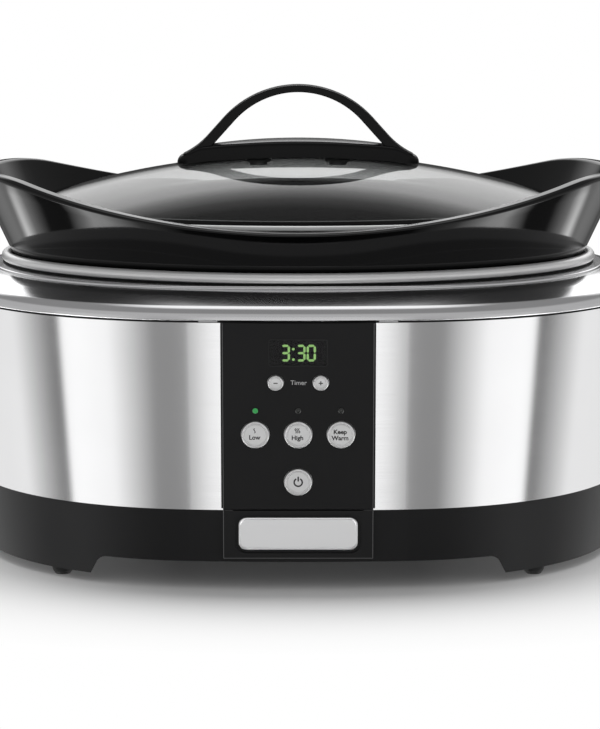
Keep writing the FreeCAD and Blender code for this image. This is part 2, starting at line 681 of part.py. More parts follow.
def make_shoulder():
    """Polished shoulder: flat seat, crown, tight edge, and a tuck behind the band."""
    body = new_body("shoulder_ring")
    outer = "(Sizes.band_top_radius + Sizes.shoulder_overhang)"
    sheet_gap = "(Sizes.band_sheet + Sizes.seat_gap)"
    slope = "Sizes.crown_slope"
    edge = "Sizes.shoulder_edge_radius"
    crown = f"((Sizes.crown_width - {edge} * (1 - sin({slope}))) / sin({slope}))"
    crown_start = f"({outer} - Sizes.crown_width)"
    crown_end = f"({crown_start} + {crown} * sin({slope}))"
    crown_low = f"({SHOULDER_TOP} - {crown} * (1 - cos({slope})))"
    edge_low = f"({crown_low} - {edge} * cos({slope}))"
    inside_crown = f"({crown} - Sizes.shoulder_sheet)"
    inside_edge = f"({edge} - Sizes.shoulder_sheet)"
    inside_end = f"({crown_start} + {inside_crown} * sin({slope}))"
    inside_low = f"({crown_low} - Sizes.shoulder_sheet * cos({slope}))"
    inside_top = f"({SHOULDER_TOP} - Sizes.shoulder_sheet)"
    tuck_foot = f"({BAND_HEAD} - Sizes.shoulder_tuck)"
    step_top = f"({SHOULDER_FOOT} + Sizes.shoulder_sheet)"
    tuck_outer = f"(Sizes.band_top_radius - {sheet_gap})"
    tuck_low = f"({wall_radius(tuck_foot)} - {sheet_gap})"
    inner = f"(min({WELL_LENGTH} - Sizes.side_arc_offset; {WELL_DEPTH} - {FRONT_EXTRA}) - Sizes.shoulder_lap)"
    oval_sweep(body, "shoulder", [
        (inner, SHOULDER_TOP),
        (inner, inside_top),
        (crown_start, inside_top),
        (inside_end, inside_low, inside_crown, 1),
        (f"({outer} - Sizes.shoulder_sheet)", edge_low, inside_edge, 1),
        (f"({outer} - Sizes.shoulder_sheet)", step_top),
        (f"({tuck_outer} - Sizes.shoulder_sheet)", step_top),
        (f"({tuck_low} - Sizes.shoulder_sheet)", tuck_foot),
        (tuck_low, tuck_foot),
        (tuck_outer, SHOULDER_FOOT),
        (outer, SHOULDER_FOOT),
        (outer, edge_low),
        (crown_end, crown_low, edge, -1),
        (crown_start, SHOULDER_TOP, crown, -1),
    ])
    hole = new_sketch(body, "well_hole_outline", "XY_Plane", SHOULDER_TOP)
    draw_ellipse(hole, f"({WELL_LENGTH} + Sizes.well_sheet + Sizes.slip_gap)",
                 f"({WELL_DEPTH} + Sizes.well_sheet + Sizes.slip_gap)")
    pocket(body, "well_hole", hole, "2 * Sizes.shoulder_sheet", symmetric=True)
    gap = new_sketch(body, "tuck_gap_outline", "XZ_Plane")
    half = "(Sizes.panel_frame_half_width + Sizes.seat_gap)"
    draw_rectangle(gap, f"-{half}", tuck_foot, half, SHOULDER_FOOT)
    pocket(body, "tuck_gap", gap, f"2 * {front('Sizes.band_top_radius')}", backward=True)


def make_bead():
    """Half-round trim bead round the opening."""
    body = new_body("rim_bead")
    half = "(Sizes.bead_width / 2)"
    shank = f"({SHOULDER_TOP} + Sizes.bead_height - {half})"
    ellipse_sweep(body, "bead", BEAD_LENGTH, BEAD_DEPTH, [
        (f"-{half}", SHOULDER_TOP),
        (half, SHOULDER_TOP),
        (half, shank),
        ("0", f"{SHOULDER_TOP} + Sizes.bead_height", half, 1),
        (f"-{half}", shank, half, 1),
    ])


def make_well():
    """Aluminised heating well with a flat floor, a round heel and a flange that rests on the shoulder."""
    body = new_body("heating_well")
    sheet_wall = "Sizes.well_sheet"
    inner_heel = heel("-Sizes.crock_draft_inset", WELL_FLOOR, WELL_LEAN, "Sizes.crock_heel_radius")
    outer_heel = heel(f"({sheet_wall} - Sizes.crock_draft_inset)", WELL_FOOT, WELL_LEAN,
                      f"(Sizes.crock_heel_radius + {sheet_wall})")
    floor_end = "(-Sizes.crock_draft_inset - 2 * Sizes.crock_heel_radius)"
    ellipse_sweep(body, "well_wall", WELL_LENGTH, WELL_DEPTH, [
        (floor_end, WELL_FOOT),
        outer_heel[0],
        (*outer_heel[1], f"(Sizes.crock_heel_radius + {sheet_wall})", 1),
        (sheet_wall, SHOULDER_TOP),
        ("Sizes.well_flange", SHOULDER_TOP),
        ("Sizes.well_flange", FLANGE_TOP),
        ("0", FLANGE_TOP),
        inner_heel[1],
        (*inner_heel[0], "Sizes.crock_heel_radius", -1),
        (floor_end, WELL_FLOOR),
    ])
    floor = new_sketch(body, "well_floor_outline", "XY_Plane", WELL_FOOT)
    floor_edge = "(Sizes.crock_draft_inset + 1.5 * Sizes.crock_heel_radius)"
    draw_ellipse(floor, f"({WELL_LENGTH} - {floor_edge})", f"({WELL_DEPTH} - {floor_edge})")
    pad(body, "well_floor", floor, sheet_wall)


def well_outside(height):
    """How far the outside of the well's wall lies from its top opening at a height."""
    return f"(Sizes.well_sheet - ({SHOULDER_TOP} - {height}) * tan({WELL_LEAN}))"


def make_heater():
    """Heater band wrapped round the well, and the thermal fuse on the well's back."""
    body = new_body("heater_band")
    foot = f"({WELL_FOOT} + Sizes.heater_lift)"
    head = f"({foot} + Sizes.heater_height)"
    ellipse_sweep(body, "heater", WELL_LENGTH, WELL_DEPTH, [
        (f"{well_outside(foot)} + Sizes.seat_gap", foot),
        (f"{well_outside(foot)} + Sizes.seat_gap + Sizes.heater_thickness", foot),
        (f"{well_outside(head)} + Sizes.seat_gap + Sizes.heater_thickness", head),
        (f"{well_outside(head)} + Sizes.seat_gap", head),
    ])
    fuse = new_body("thermal_fuse")
    height = f"({WELL_FOOT} + Sizes.fuse_lift)"
    fuse.setExpression("Placement.Base.y",
                       f"{WELL_DEPTH} + {well_outside(height)} + Sizes.seat_gap + Sizes.fuse_radius")
    fuse.setExpression("Placement.Base.z", height)
    outline = new_sketch(fuse, "fuse_outline", "YZ_Plane")
    draw_circle(outline, "0", "0", "Sizes.fuse_radius")
    pad(fuse, "fuse_can", outline, "Sizes.fuse_length", symmetric=True)


def make_tie():
    """Stud with a collar between floor and well, and the nut that draws the well down."""
    stud = new_body("tie_stud")
    profile = new_sketch(stud, "stud_profile", "XZ_Plane")
    tail = f"({FLOOR_FOOT} - Sizes.stud_tail)"
    draw_path(profile, [
        ("0", tail),
        ("Sizes.stud_radius", tail),
        ("Sizes.stud_radius", FLOOR_TOP),
        ("Sizes.stud_collar_radius", FLOOR_TOP),
        ("Sizes.stud_collar_radius", WELL_FOOT),
        ("0", WELL_FOOT),
    ])
    revolve(stud, "stud_turned", profile)
    nut = new_body("tie_nut")
    outline = new_sketch(nut, "nut_outline", "XY_Plane", f"{FLOOR_FOOT} - Sizes.nut_height")
    reach = "(Sizes.nut_half_width / cos(30))"
    corners = [f"({60 * turn})" for turn in range(6)]
    draw_path(outline, [(f"{reach} * cos{corner}", f"{reach} * sin{corner}") for corner in corners])
    draw_circle(outline, "0", "0", "Sizes.stud_radius + Sizes.slip_gap / 2")
    pad(nut, "nut_hexagon", outline, "Sizes.nut_height")


def boss_places():
    """Places of the four board bosses on the panel, as (across, up)."""
    low = "Sizes.boss_end_inset"
    high = f"({PANEL_HEIGHT} - Sizes.boss_end_inset)"
    return [(f"{side} * Sizes.boss_place", up) for up in (low, high) for side in (-1, 1)]


def button_places():
    """Each button's name, place across and up the panel, and the radius of its hole."""
    places = {}
    for name, side in (("minus", -1), ("plus", 1)):
        places[name] = (f"{side} * Sizes.adjust_pitch / 2", ADJUST_UP, "Sizes.adjust_radius")
    for name, side in (("low", -1), ("high", 0), ("warm", 1)):
        places[name] = (f"{side} * Sizes.mode_pitch", MODE_UP, "Sizes.mode_radius")
    places["power"] = ("0", POWER_UP, "Sizes.power_radius")
    return places


def window_outline(sketch, grow):
    """Draw the display window's round-cornered outline, grown on every side."""
    half = f"(Sizes.window_half_width + {grow})"
    rise = f"(Sizes.window_height / 2 + {grow})"
    draw_rounded(sketch, half, f"({WINDOW_UP} - {rise})", f"({WINDOW_UP} + {rise})",
                 f"(Sizes.window_corner + {grow})")


def make_panel():
    """Flat control panel with its rear frame, board bosses and openings."""
    body = panel_body("control_panel")
    half = "Sizes.panel_half_width"
    slab(body, "plate", lambda sketch: draw_rectangle(sketch, f"-{half}", "0", half, PANEL_HEIGHT),
         "0", "Sizes.panel_plate")
    round_edges(body, "plate_rounding", "Sizes.panel_round",
                lambda edge: all(vertex.Point.y < number("Sizes.panel_round") for vertex in edge.Vertexes))
    frame = new_sketch(body, "frame_outline", "XZ_Plane", "-Sizes.panel_plate")
    for inset in ("0", "Sizes.panel_frame_wall"):
        frame_half = f"(Sizes.panel_frame_half_width - {inset})"
        frame_end = f"(Sizes.panel_frame_inset + {inset})"
        draw_rectangle(frame, f"-{frame_half}", frame_end, frame_half, f"{PANEL_HEIGHT} - {frame_end}")
    pad(body, "frame", frame, "Sizes.panel_frame_depth", backward=True)
    bosses = new_sketch(body, "boss_outline", "XZ_Plane", "-Sizes.panel_plate")
    for across, up in boss_places():
        draw_circle(bosses, across, up, "Sizes.boss_radius")
    pad(body, "bosses", bosses, "Sizes.board_setback - Sizes.panel_plate", backward=True)
    openings = new_sketch(body, "opening_outlines", "XZ_Plane")
    window_outline(openings, "0")
    for across, up, radius in button_places().values():
        draw_circle(openings, across, up, radius)
    for side in (-1, 0, 1):
        draw_circle(openings, f"{side} * Sizes.mode_pitch", LED_UP,
                    "Sizes.led_lens_radius + Sizes.slip_gap")
    pocket(body, "panel_openings", openings, "Sizes.panel_plate")
    holes = new_sketch(body, "boss_hole_outline", "XZ_Plane", "-Sizes.board_setback")
    for across, up in boss_places():
        draw_circle(holes, across, up, "Sizes.screw_radius + Sizes.slip_gap / 2")
    pocket(body, "boss_holes", holes, "Sizes.screw_depth + Sizes.seat_gap", backward=True)


def make_display():
    """Display window, the digit module behind it and the three indicator lamps."""
    window = panel_body("display_window")
    slab(window, "window_pane", lambda sketch: window_outline(sketch, "-Sizes.slip_gap"),
         "Sizes.window_recess", "Sizes.panel_plate - Sizes.window_recess")
    slab(window, "window_rim", lambda sketch: window_outline(sketch, "Sizes.window_flange"),
         "Sizes.panel_plate", "Sizes.window_flange_depth")
    module = panel_body("led_display")
    half = "Sizes.display_half_width"
    low = f"{WINDOW_UP} - Sizes.window_height / 2"
    high = f"{WINDOW_UP} + Sizes.window_height / 2"
    front_face = "(Sizes.panel_plate + Sizes.window_flange_depth + Sizes.seat_gap)"
    slab(module, "digit_module", lambda sketch: draw_rectangle(sketch, f"-{half}", low, half, high),
         front_face, f"Sizes.board_setback - {front_face}")
    for name, side in (("low", -1), ("high", 0), ("warm", 1)):
        lamp = panel_body(f"led_{name}", f"{side} * Sizes.mode_pitch", LED_UP)
        shoulder = "(Sizes.panel_plate + Sizes.window_flange_depth)"
        round_slab(lamp, f"{lamp.Name}_lens", "Sizes.led_lens_radius",
                   "-Sizes.led_proud", f"Sizes.led_proud + {shoulder}")
        round_slab(lamp, f"{lamp.Name}_case", "Sizes.led_body_radius",
                   shoulder, f"Sizes.board_setback - {shoulder}")


def make_board():
    """Control board with its four screws and a tactile switch behind every button."""
    board = panel_body("control_board")
    half = "Sizes.board_half_width"
    outline = new_sketch(board, "board_outline", "XZ_Plane", "-Sizes.board_setback")
    draw_rectangle(outline, f"-{half}", "Sizes.board_end_inset", half,
                   f"{PANEL_HEIGHT} - Sizes.board_end_inset")
    for across, up in boss_places():
        draw_circle(outline, across, up, "Sizes.screw_radius + Sizes.slip_gap")
    pad(board, "board", outline, "Sizes.board_thickness", backward=True)
    for index, (across, up) in enumerate(boss_places(), start=1):
        screw = panel_body(f"board_screw_{index}", across, up)
        round_slab(screw, f"screw_head_{index}", "Sizes.screw_head_radius",
                   BOARD_BACK, "Sizes.screw_head_height")
        round_slab(screw, f"screw_shank_{index}", "Sizes.screw_radius",
                   "Sizes.board_setback - Sizes.screw_depth", "Sizes.screw_depth + Sizes.board_thickness")
    for name, (across, up, _) in button_places().items():
        switch = panel_body(f"tact_switch_{name}", across, up)
        side = "Sizes.switch_half_width"
        case_front = "(Sizes.board_setback - Sizes.switch_height)"
        slab(switch, f"switch_case_{name}",
             lambda sketch: draw_rectangle(sketch, f"-{side}", f"-{side}", side, side),
             case_front, "Sizes.switch_height")
        round_slab(switch, f"plunger_{name}", "Sizes.plunger_radius",
                   f"{case_front} - Sizes.plunger_height", "Sizes.plunger_height")


def make_buttons():
    """Six dished push buttons, each with a flange behind the panel and a stem towards its switch."""
    plunger_face = "(Sizes.board_setback - Sizes.switch_height - Sizes.plunger_height)"
    stem_end = f"({plunger_face} - Sizes.button_travel - Sizes.slip_gap / 2)"
    flange_face = "(Sizes.panel_plate + Sizes.seat_gap)"
    flange_back = f"({flange_face} + Sizes.button_flange_depth)"
    dish = "(-Sizes.button_proud + Sizes.button_dish)"
    for name, (across, up, hole) in button_places().items():
        button = panel_body(f"button_{name}", across, up)
        radius = f"({hole} - Sizes.button_gap)"
        lip = f"({radius} - Sizes.button_edge)"
        bowl = f"(({lip}^2 + Sizes.button_dish^2) / (2 * Sizes.button_dish))"
        profile = new_sketch(button, f"{button.Name}_profile", "XY_Plane")
        draw_path(profile, [
            ("0", dish, bowl, 1),
            ("0", stem_end),
            ("Sizes.stem_radius", stem_end),
            ("Sizes.stem_radius", flange_back),
            (f"{radius} + Sizes.button_flange", flange_back),
            (f"{radius} + Sizes.button_flange", flange_face),
            (radius, flange_face),
            (radius, "-Sizes.button_proud + Sizes.button_edge"),
            (lip, "-Sizes.button_proud", "Sizes.button_edge", -1),
        ])
        revolve(button, f"{button.Name}_turned", profile)


def make_badge():
    """Bare plate set in the recess of the base's front facet."""
    body = panel_body("badge_plate")
    half = "(Sizes.recess_half_width - Sizes.badge_margin)"
    slab(body, "badge", lambda sketch: draw_rounded(
        sketch, half, f"({RECESS_FOOT} + Sizes.badge_margin)", f"({RECESS_HEAD} - Sizes.badge_margin)",
        "(Sizes.recess_corner - Sizes.badge_margin)"),
        "Sizes.recess_depth - Sizes.badge_thickness", "Sizes.badge_thickness")


def box_on_board(body, name, place, length, width, lift, height):
    """Raise a block on the power board."""
    board_top = f"({FLOOR_TOP} + Sizes.power_board_lift + Sizes.board_thickness)"
    sketch = new_sketch(body, f"{name}_outline", "XY_Plane", f"{board_top} + {lift}")
    middle = power_board_middle()
    draw_rectangle(sketch, f"{place} - {length} / 2", f"{middle} - {width} / 2",
                   f"{place} + {length} / 2", f"{middle} + {width} / 2")
    return pad(body, name, sketch, height)


def make_power_board():
    """Power board on the floor's posts, with its relay and transformer."""
    board = new_body("power_board")
    box_on_board(board, "power_card", "0", "2 * Sizes.power_board_half_length", "Sizes.power_board_width",
                 "-Sizes.board_thickness", "Sizes.board_thickness")
    relay = new_body("relay")
    box_on_board(relay, "relay_case", "Sizes.relay_place", "Sizes.relay_length", "Sizes.relay_width",
                 "0", "Sizes.relay_height")
    transformer = new_body("transformer")
    box_on_board(transformer, "core", "Sizes.transformer_place", "Sizes.core_length", "Sizes.core_width",
                 "0", "Sizes.core_height")
    box_on_board(transformer, "coil", "Sizes.transformer_place", "Sizes.coil_length", "Sizes.coil_width",
                 "Sizes.coil_lift", "Sizes.coil_height")


def make_gland():
    """Cord gland that slides down into the notch in the back of the base."""
    body = new_body("cord_gland")
    notch_foot = f"({BAND_FOOT} - 2 * Sizes.gland_half_width)"
    wall_outside = f"({front(wall_radius(BAND_FOOT))} + Sizes.seat_gap)"
    wall_inside = f"({front(wall_radius(notch_foot))} - Sizes.skirt_wall - Sizes.seat_gap)"

    def cradle(sketch, grow):
        half = f"(Sizes.gland_half_width + {grow})"
        middle = f"({BAND_FOOT} - Sizes.gland_half_width)"
        draw_path(sketch, [
            (f"-{half}", middle),
            ("0", f"{middle} - {half}", half, 1),
            (half, middle, half, 1),
            (half, BAND_FOOT),
            (f"-{half}", BAND_FOOT),
        ])

    slab(body, "gland_neck", lambda sketch: cradle(sketch, "0"),
         wall_inside, f"{wall_outside} - {wall_inside}")
    slab(body, "gland_outer_lip", lambda sketch: cradle(sketch, "Sizes.gland_lip"),
         wall_outside, "Sizes.gland_flange")
    slab(body, "gland_inner_lip", lambda sketch: cradle(sketch, "Sizes.gland_lip"),
         f"{wall_inside} - Sizes.gland_flange", "Sizes.gland_flange")
    bore = new_sketch(body, "gland_bore_outline", "XZ_Plane", f"-({wall_inside} - Sizes.gland_flange)")
    draw_circle(bore, "0", f"{BAND_FOOT} - Sizes.gland_half_width", "Sizes.cord_radius")
    pocket(body, "gland_bore", bore, f"{wall_outside} - {wall_inside} + 2 * Sizes.gland_flange")


def make_crock():
    """Stoneware crock: drafted bowl, flared collar with a lid ledge, and a rim that rises at both ends."""
    body = new_body("stoneware_crock")
    dip_reach = f"({COLLAR_LENGTH} - Sizes.rim_crest_inset)"
    crest_turn = f"asin({dip_reach} / Sizes.rim_dip_radius)"
    dip_end = f"({RIM_LOW} + Sizes.rim_dip_radius * (1 - cos({crest_turn})))"
    crest = f"({dip_end} + Sizes.rim_crest_radius * (1 - cos({crest_turn})))"
    crest_start = f"({dip_reach} + Sizes.rim_crest_radius * sin({crest_turn}))"
    collar_head = f"({crest} + Sizes.rim_round)"
    flare = f"(({collar_head} - {COLLAR_FOOT}) * tan(Sizes.collar_flare))"
    foot_inset = "(Sizes.collar_step + Sizes.crock_draft_inset)"
    outer_heel = heel(f"-{foot_inset}", CROCK_FOOT, CROCK_LEAN, "Sizes.crock_heel_radius")
    cavity_foot = f"-({foot_inset} + Sizes.crock_wall)"
    inner_heel = heel(cavity_foot, CAVITY_FOOT, CROCK_LEAN, "Sizes.crock_heel_radius")
    mouth = f"{cavity_foot} + ({LEDGE} - {CAVITY_FOOT}) * tan({CROCK_LEAN})"
    floor_end = f"-({foot_inset} + Sizes.crock_wall + 2 * Sizes.crock_heel_radius)"
    ellipse_sweep(body, "crock_wall", COLLAR_LENGTH, COLLAR_DEPTH, [
        (floor_end, CROCK_FOOT),
        outer_heel[0],
        (*outer_heel[1], "Sizes.crock_heel_radius", 1),
        ("-Sizes.collar_step", COLLAR_FOOT),
        ("0", COLLAR_FOOT),
        (flare, collar_head),
        (f"{flare} - Sizes.collar_wall", collar_head),
        ("Sizes.ledge_height * tan(Sizes.collar_flare) - Sizes.collar_wall", LEDGE),
        (mouth, LEDGE),
        inner_heel[1],
        (*inner_heel[0], "Sizes.crock_heel_radius", -1),
        (floor_end, CAVITY_FOOT),
    ])
    floor = new_sketch(body, "crock_floor_outline", "XY_Plane", CROCK_FOOT)
    floor_edge = f"({foot_inset} + Sizes.crock_wall + 1.5 * Sizes.crock_heel_radius)"
    draw_ellipse(floor, f"({COLLAR_LENGTH} - {floor_edge})", f"({COLLAR_DEPTH} - {floor_edge})")
    pad(body, "crock_floor", floor, "Sizes.crock_floor")
    rim = new_sketch(body, "rim_side", "XZ_Plane")
    far = f"(2 * {COLLAR_LENGTH})"
    above = f"({collar_head} + Sizes.ledge_height)"
    draw_path(rim, [
        (f"-{far}", crest),
        (f"-{crest_start}", crest),
        (f"-{dip_reach}", dip_end, "Sizes.rim_crest_radius", -1),
        (dip_reach, dip_end, "Sizes.rim_dip_radius", 1),
        (crest_start, crest, "Sizes.rim_crest_radius", -1),
        (far, crest),
        (far, above),
        (f"-{far}", above),
    ])
    pocket(body, "rim_cut", rim, f"4 * {COLLAR_DEPTH}", symmetric=True)
    round_edges(body, "rim_rounding", "Sizes.rim_round", outer_rim)


def outer_rim(edge):
    """Choose the edges along the outside of the crock's rim."""
    middle = edge.valueAt((edge.FirstParameter + edge.LastParameter) / 2)
    reach = math.hypot(middle.x / number(RECESS_LENGTH), middle.y / number(RECESS_DEPTH))
    ends = [vertex.Point.z for vertex in edge.Vertexes]
    return min(ends) > number(LEDGE) and reach > 1 + number("Sizes.collar_wall / 2") / number(RECESS_LENGTH)


def dome_height(foot, top, step):
    """Height of a dome that falls away with the square of the step out from its middle."""
    return f"({top} - ({top} - {foot}) * {step}^2)"


def dome_sections(foot, top, half_length, half_depth):
    """Ellipses of a dome, from its foot to the small flat at its top."""
    return [(f"({half_length} * {step})", f"({half_depth} * {step})", dome_height(foot, top, step))
            for step in DOME_STEPS]


def make_lid():
    """Domed glass lid with two holes for the handle's screws."""
    body = new_body("glass_lid")
    edge = new_sketch(body, "lid_edge_outline", "XY_Plane", LID_FOOT)
    draw_ellipse(edge, LID_LENGTH, LID_DEPTH)
    pad(body, "lid_edge", edge, "Sizes.lid_edge")
    ellipse_loft(body, "dome_outside", dome_sections(DOME_FOOT, DOME_TOP, LID_LENGTH, LID_DEPTH))
    ellipse_loft(body, "dome_inside", dome_sections(
        LID_FOOT, f"({DOME_TOP} - Sizes.glass_thickness)", f"({LID_LENGTH} - Sizes.lid_land)",
        f"({LID_DEPTH} - Sizes.lid_land)"), cut=True)
    holes = new_sketch(body, "screw_hole_outline", "XY_Plane", DOME_TOP)
    for side in (-1, 1):
        draw_circle(holes, f"{side} * Sizes.handle_screw_place", "0", "Sizes.screw_hole_radius")
    pocket(body, "screw_holes", holes, "Sizes.lid_rise")


def make_handle():
    """Arched strap on a boat-shaped base whose underside follows the glass."""
    body = new_body("lid_handle")
    end = "Sizes.handle_half_length"
    buried = f"({DOME_FOOT} + Sizes.seat_gap)"
    base_top = f"({DOME_TOP} + Sizes.handle_base_rise)"
    outer = "Sizes.strap_outer_radius"
    inner = "(Sizes.strap_outer_radius - Sizes.strap_thickness)"
    slope = "Sizes.strap_slope"
    tip_slope = "Sizes.handle_tip_slope"
    tip = "Sizes.handle_tip_radius"
    shoulder = "Sizes.handle_shoulder"
    arch_centre = f"({HANDLE_TOP} - {outer})"
    hip = (f"({outer} * sin({slope}))", f"({arch_centre} + {outer} * cos({slope}))")
    inner_hip = (f"({inner} * sin({slope}))", f"({arch_centre} + {inner} * cos({slope}))")
    knee_height = f"({base_top} + Sizes.strap_knee_rise)"
    knee = (f"({hip[0]} + ({hip[1]} - {knee_height}) / tan({slope}))", knee_height)
    foot = (f"({knee[0]} + Sizes.strap_foot_radius * (sin({slope}) - sin({tip_slope})))",
            f"({knee[1]} - Sizes.strap_foot_radius * (cos({tip_slope}) - cos({slope})))")
    inner_foot = (f"({inner_hip[0]} + ({inner_hip[1]} - {DOME_TOP}) / tan({slope}))", DOME_TOP)
    tip_across = f"({end} - {tip} * (1 - sin({tip_slope})))"
    tip_height = f"({foot[1]} - ({tip_across} - {foot[0]}) * tan({tip_slope}))"
    tip_low = f"({tip_height} - {tip} * cos({tip_slope}))"
    shoulder_height = f"({foot[1]} + ({foot[0]} - {shoulder}) * tan({tip_slope}))"
    bow_rise = f"({base_top} - {shoulder_height})"
    base_bow = f"(({shoulder}^2 + {bow_rise}^2) / (2 * {bow_rise}))"
    base = new_sketch(body, "handle_base_side", "XZ_Plane")
    draw_path(base, [
        (f"-{end}", buried),
        (end, buried),
        (end, tip_low),
        (tip_across, tip_height, tip, 1),
        (shoulder, shoulder_height),
        (f"-{shoulder}", shoulder_height, base_bow, 1),
        (f"-{tip_across}", tip_height),
        (f"-{end}", tip_low, tip, 1),
    ])
    pad(body, "handle_base", base, "2 * Sizes.handle_half_width", symmetric=True)
    plan = new_sketch(body, "handle_base_plan", "XY_Plane", HANDLE_TOP)
    side_end = "Sizes.handle_end_half_width"
    swell = f"(Sizes.handle_half_width - {side_end})"
    side_bow = f"(({end}^2 + {swell}^2) / (2 * {swell}))"
    border = f"({end} + Sizes.handle_half_width)"
    draw_rectangle(plan, f"-{border}", f"-{border}", border, border)
    draw_path(plan, [
        (f"-{end} + {side_end}", f"-{side_end}", side_end, 1),
        (f"{end} - {side_end}", f"-{side_end}", side_bow, 1),
        (end, "0", side_end, 1),
        (f"{end} - {side_end}", side_end, side_end, 1),
        (f"-{end} + {side_end}", side_end, side_bow, 1),
        (f"-{end}", "0", side_end, 1),
    ])
    pocket(body, "handle_base_trim", plan, f"{HANDLE_TOP} - {buried}")
    strap = new_sketch(body, "strap_side", "XZ_Plane")
    draw_path(strap, [
        (f"-{foot[0]}", foot[1], "Sizes.strap_foot_radius", -1),
        (f"-{inner_foot[0]}", inner_foot[1]),
        (f"-{inner_hip[0]}", inner_hip[1]),
        (*inner_hip, inner, -1),
        inner_foot,
        foot,
        (*knee, "Sizes.strap_foot_radius", -1),
        hip,
        (f"-{hip[0]}", hip[1], outer, 1),
        (f"-{knee[0]}", knee[1]),
    ])
    pad(body, "strap", strap, "2 * Sizes.strap_half_width", symmetric=True)
    seat = f"({DOME_TOP} + Sizes.seat_gap)"
    ellipse_loft(body, "dome_seat", dome_sections(buried, seat, LID_LENGTH, LID_DEPTH), cut=True)
    holes = new_sketch(body, "handle_screw_outline", "XY_Plane", DOME_FOOT)
    for side in (-1, 1):
        draw_circle(holes, f"{side} * Sizes.handle_screw_place", "0",
                    "Sizes.handle_screw_radius + Sizes.slip_gap / 2")
    pocket(body, "handle_screw_holes", holes,
           "Sizes.lid_rise + Sizes.handle_screw_depth + Sizes.seat_gap", backward=True)


def make_handle_fixings():
    """Two screws up through the glass into the handle, each on a sealing washer."""
    flat = dome_height(LID_FOOT, f"({DOME_TOP} - Sizes.glass_thickness)", DOME_STEPS[-1])
    head_top = f"({flat} - Sizes.washer_thickness)"
    for side, name in ((-1, "left"), (1, "right")):
        washer = new_body(f"handle_washer_{name}")
        washer.setExpression("Placement.Base.x", f"{side} * Sizes.handle_screw_place")
        ring = new_sketch(washer, f"washer_outline_{name}", "XY_Plane", head_top)
        draw_circle(ring, "0", "0", "Sizes.washer_radius")
        draw_circle(ring, "0", "0", "Sizes.handle_screw_radius + Sizes.slip_gap")
        pad(washer, f"washer_{name}", ring, "Sizes.washer_thickness")
        screw = new_body(f"handle_screw_{name}")
        screw.setExpression("Placement.Base.x", f"{side} * Sizes.handle_screw_place")
        disc(screw, f"handle_screw_head_{name}", "Sizes.handle_screw_head_radius",
             f"{head_top} - Sizes.handle_screw_head_height", "Sizes.handle_screw_head_height")
        disc(screw, f"handle_screw_shank_{name}", "Sizes.handle_screw_radius", head_top,
             f"{DOME_TOP} + Sizes.handle_screw_depth - {head_top}")


def check_document():
    """Stop if a feature failed, a cut removed nothing or a solid is not sound."""
    for item in doc.Objects:
        if "Invalid" in item.State or "Error" in item.State:
            raise RuntimeError(f"{item.Label}: {item.State}")
        if item.isDerivedFrom("PartDesign::Pocket") or "Subtractive" in item.TypeId:
            if item.Shape.Volume > item.BaseFeature.Shape.Volume - 0.01:
                raise RuntimeError(f"{item.Label} cuts nothing")
    for body in bodies:
        if body.Shape.isNull() or not body.Shape.isValid() or len(body.Shape.Solids) != 1:
            raise RuntimeError(f"{body.Label} is not one sound solid")


def main():
    """Build every sub-part, check it and write its file."""
    make_base_pan()
    make_feet()
    make_band()
    make_shoulder()
    make_bead()
    make_well()
    make_heater()
    make_tie()
    make_panel()
    make_display()
    make_board()
    make_buttons()
    make_badge()
    make_power_board()
    make_gland()
    make_crock()
    make_lid()
    make_handle()
    make_handle_fixings()
    doc.recompute()
    check_document()
    os.makedirs("parts", exist_ok=True)
    for body in bodies:
        body.Shape.exportStep(f"parts/{body.Label}.step")


main()
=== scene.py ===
"""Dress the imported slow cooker: steel housing, control panel, glazed crock, glass lid and studio.

Metres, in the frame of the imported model: +Z up, +X to the right, the control panel towards -Y.
Angles that are written as plain numbers are in degrees.
"""
from __future__ import annotations

import json
import logging
import math
from contextlib import contextmanager
from dataclasses import dataclass
from enum import Enum
from typing import Any, Callable, Iterator, Sequence

import bmesh
import bpy
from mathutils import Matrix, Vector

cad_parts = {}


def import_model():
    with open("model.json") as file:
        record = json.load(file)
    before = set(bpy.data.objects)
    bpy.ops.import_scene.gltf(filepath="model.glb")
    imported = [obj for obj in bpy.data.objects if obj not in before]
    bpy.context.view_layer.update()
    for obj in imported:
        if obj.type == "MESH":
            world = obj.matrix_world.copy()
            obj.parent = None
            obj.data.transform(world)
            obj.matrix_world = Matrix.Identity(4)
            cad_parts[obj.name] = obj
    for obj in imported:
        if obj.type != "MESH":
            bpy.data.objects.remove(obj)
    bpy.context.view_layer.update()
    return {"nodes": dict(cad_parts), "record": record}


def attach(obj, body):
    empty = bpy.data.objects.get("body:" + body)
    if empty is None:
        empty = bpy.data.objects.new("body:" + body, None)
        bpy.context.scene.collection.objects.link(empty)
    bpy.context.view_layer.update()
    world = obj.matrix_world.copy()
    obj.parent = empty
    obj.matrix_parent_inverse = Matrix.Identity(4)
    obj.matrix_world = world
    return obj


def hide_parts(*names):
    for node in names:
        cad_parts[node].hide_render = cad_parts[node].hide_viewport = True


LOG = logging.getLogger("slow_cooker")

Colour = tuple[float, float, float]
Size = tuple[float, float, float]
Point = tuple[float, float]
Corner = tuple[float, float, float]
Stops = Sequence[Point]

# Points closer together than this are one point
SEAM = 4e-6
# A height this close to a level is on it
TOUCH = 1e-6
# A corner this close to straight, in radians, isn't rounded
STRAIGHT = 1e-4
# A face looks along an axis when its normal has more than this along it
FACING = 0.9
# Edges that turn by more than this are bevelled by a modifier
BEVEL_ANGLE = math.radians(50)
# How strongly large faces lead the shading of their edges
FACE_LEAD = 60
# The line of a round piece that is raised about its own axis
AXIS = (0.0, 0.0)
# The colour that lights and paper are a level of
WHITE = (1.0, 1.0, 1.0)
# The middle of what a noise gives
NOISE_MIDDLE = 0.5


# Hand tools for shaping a mesh


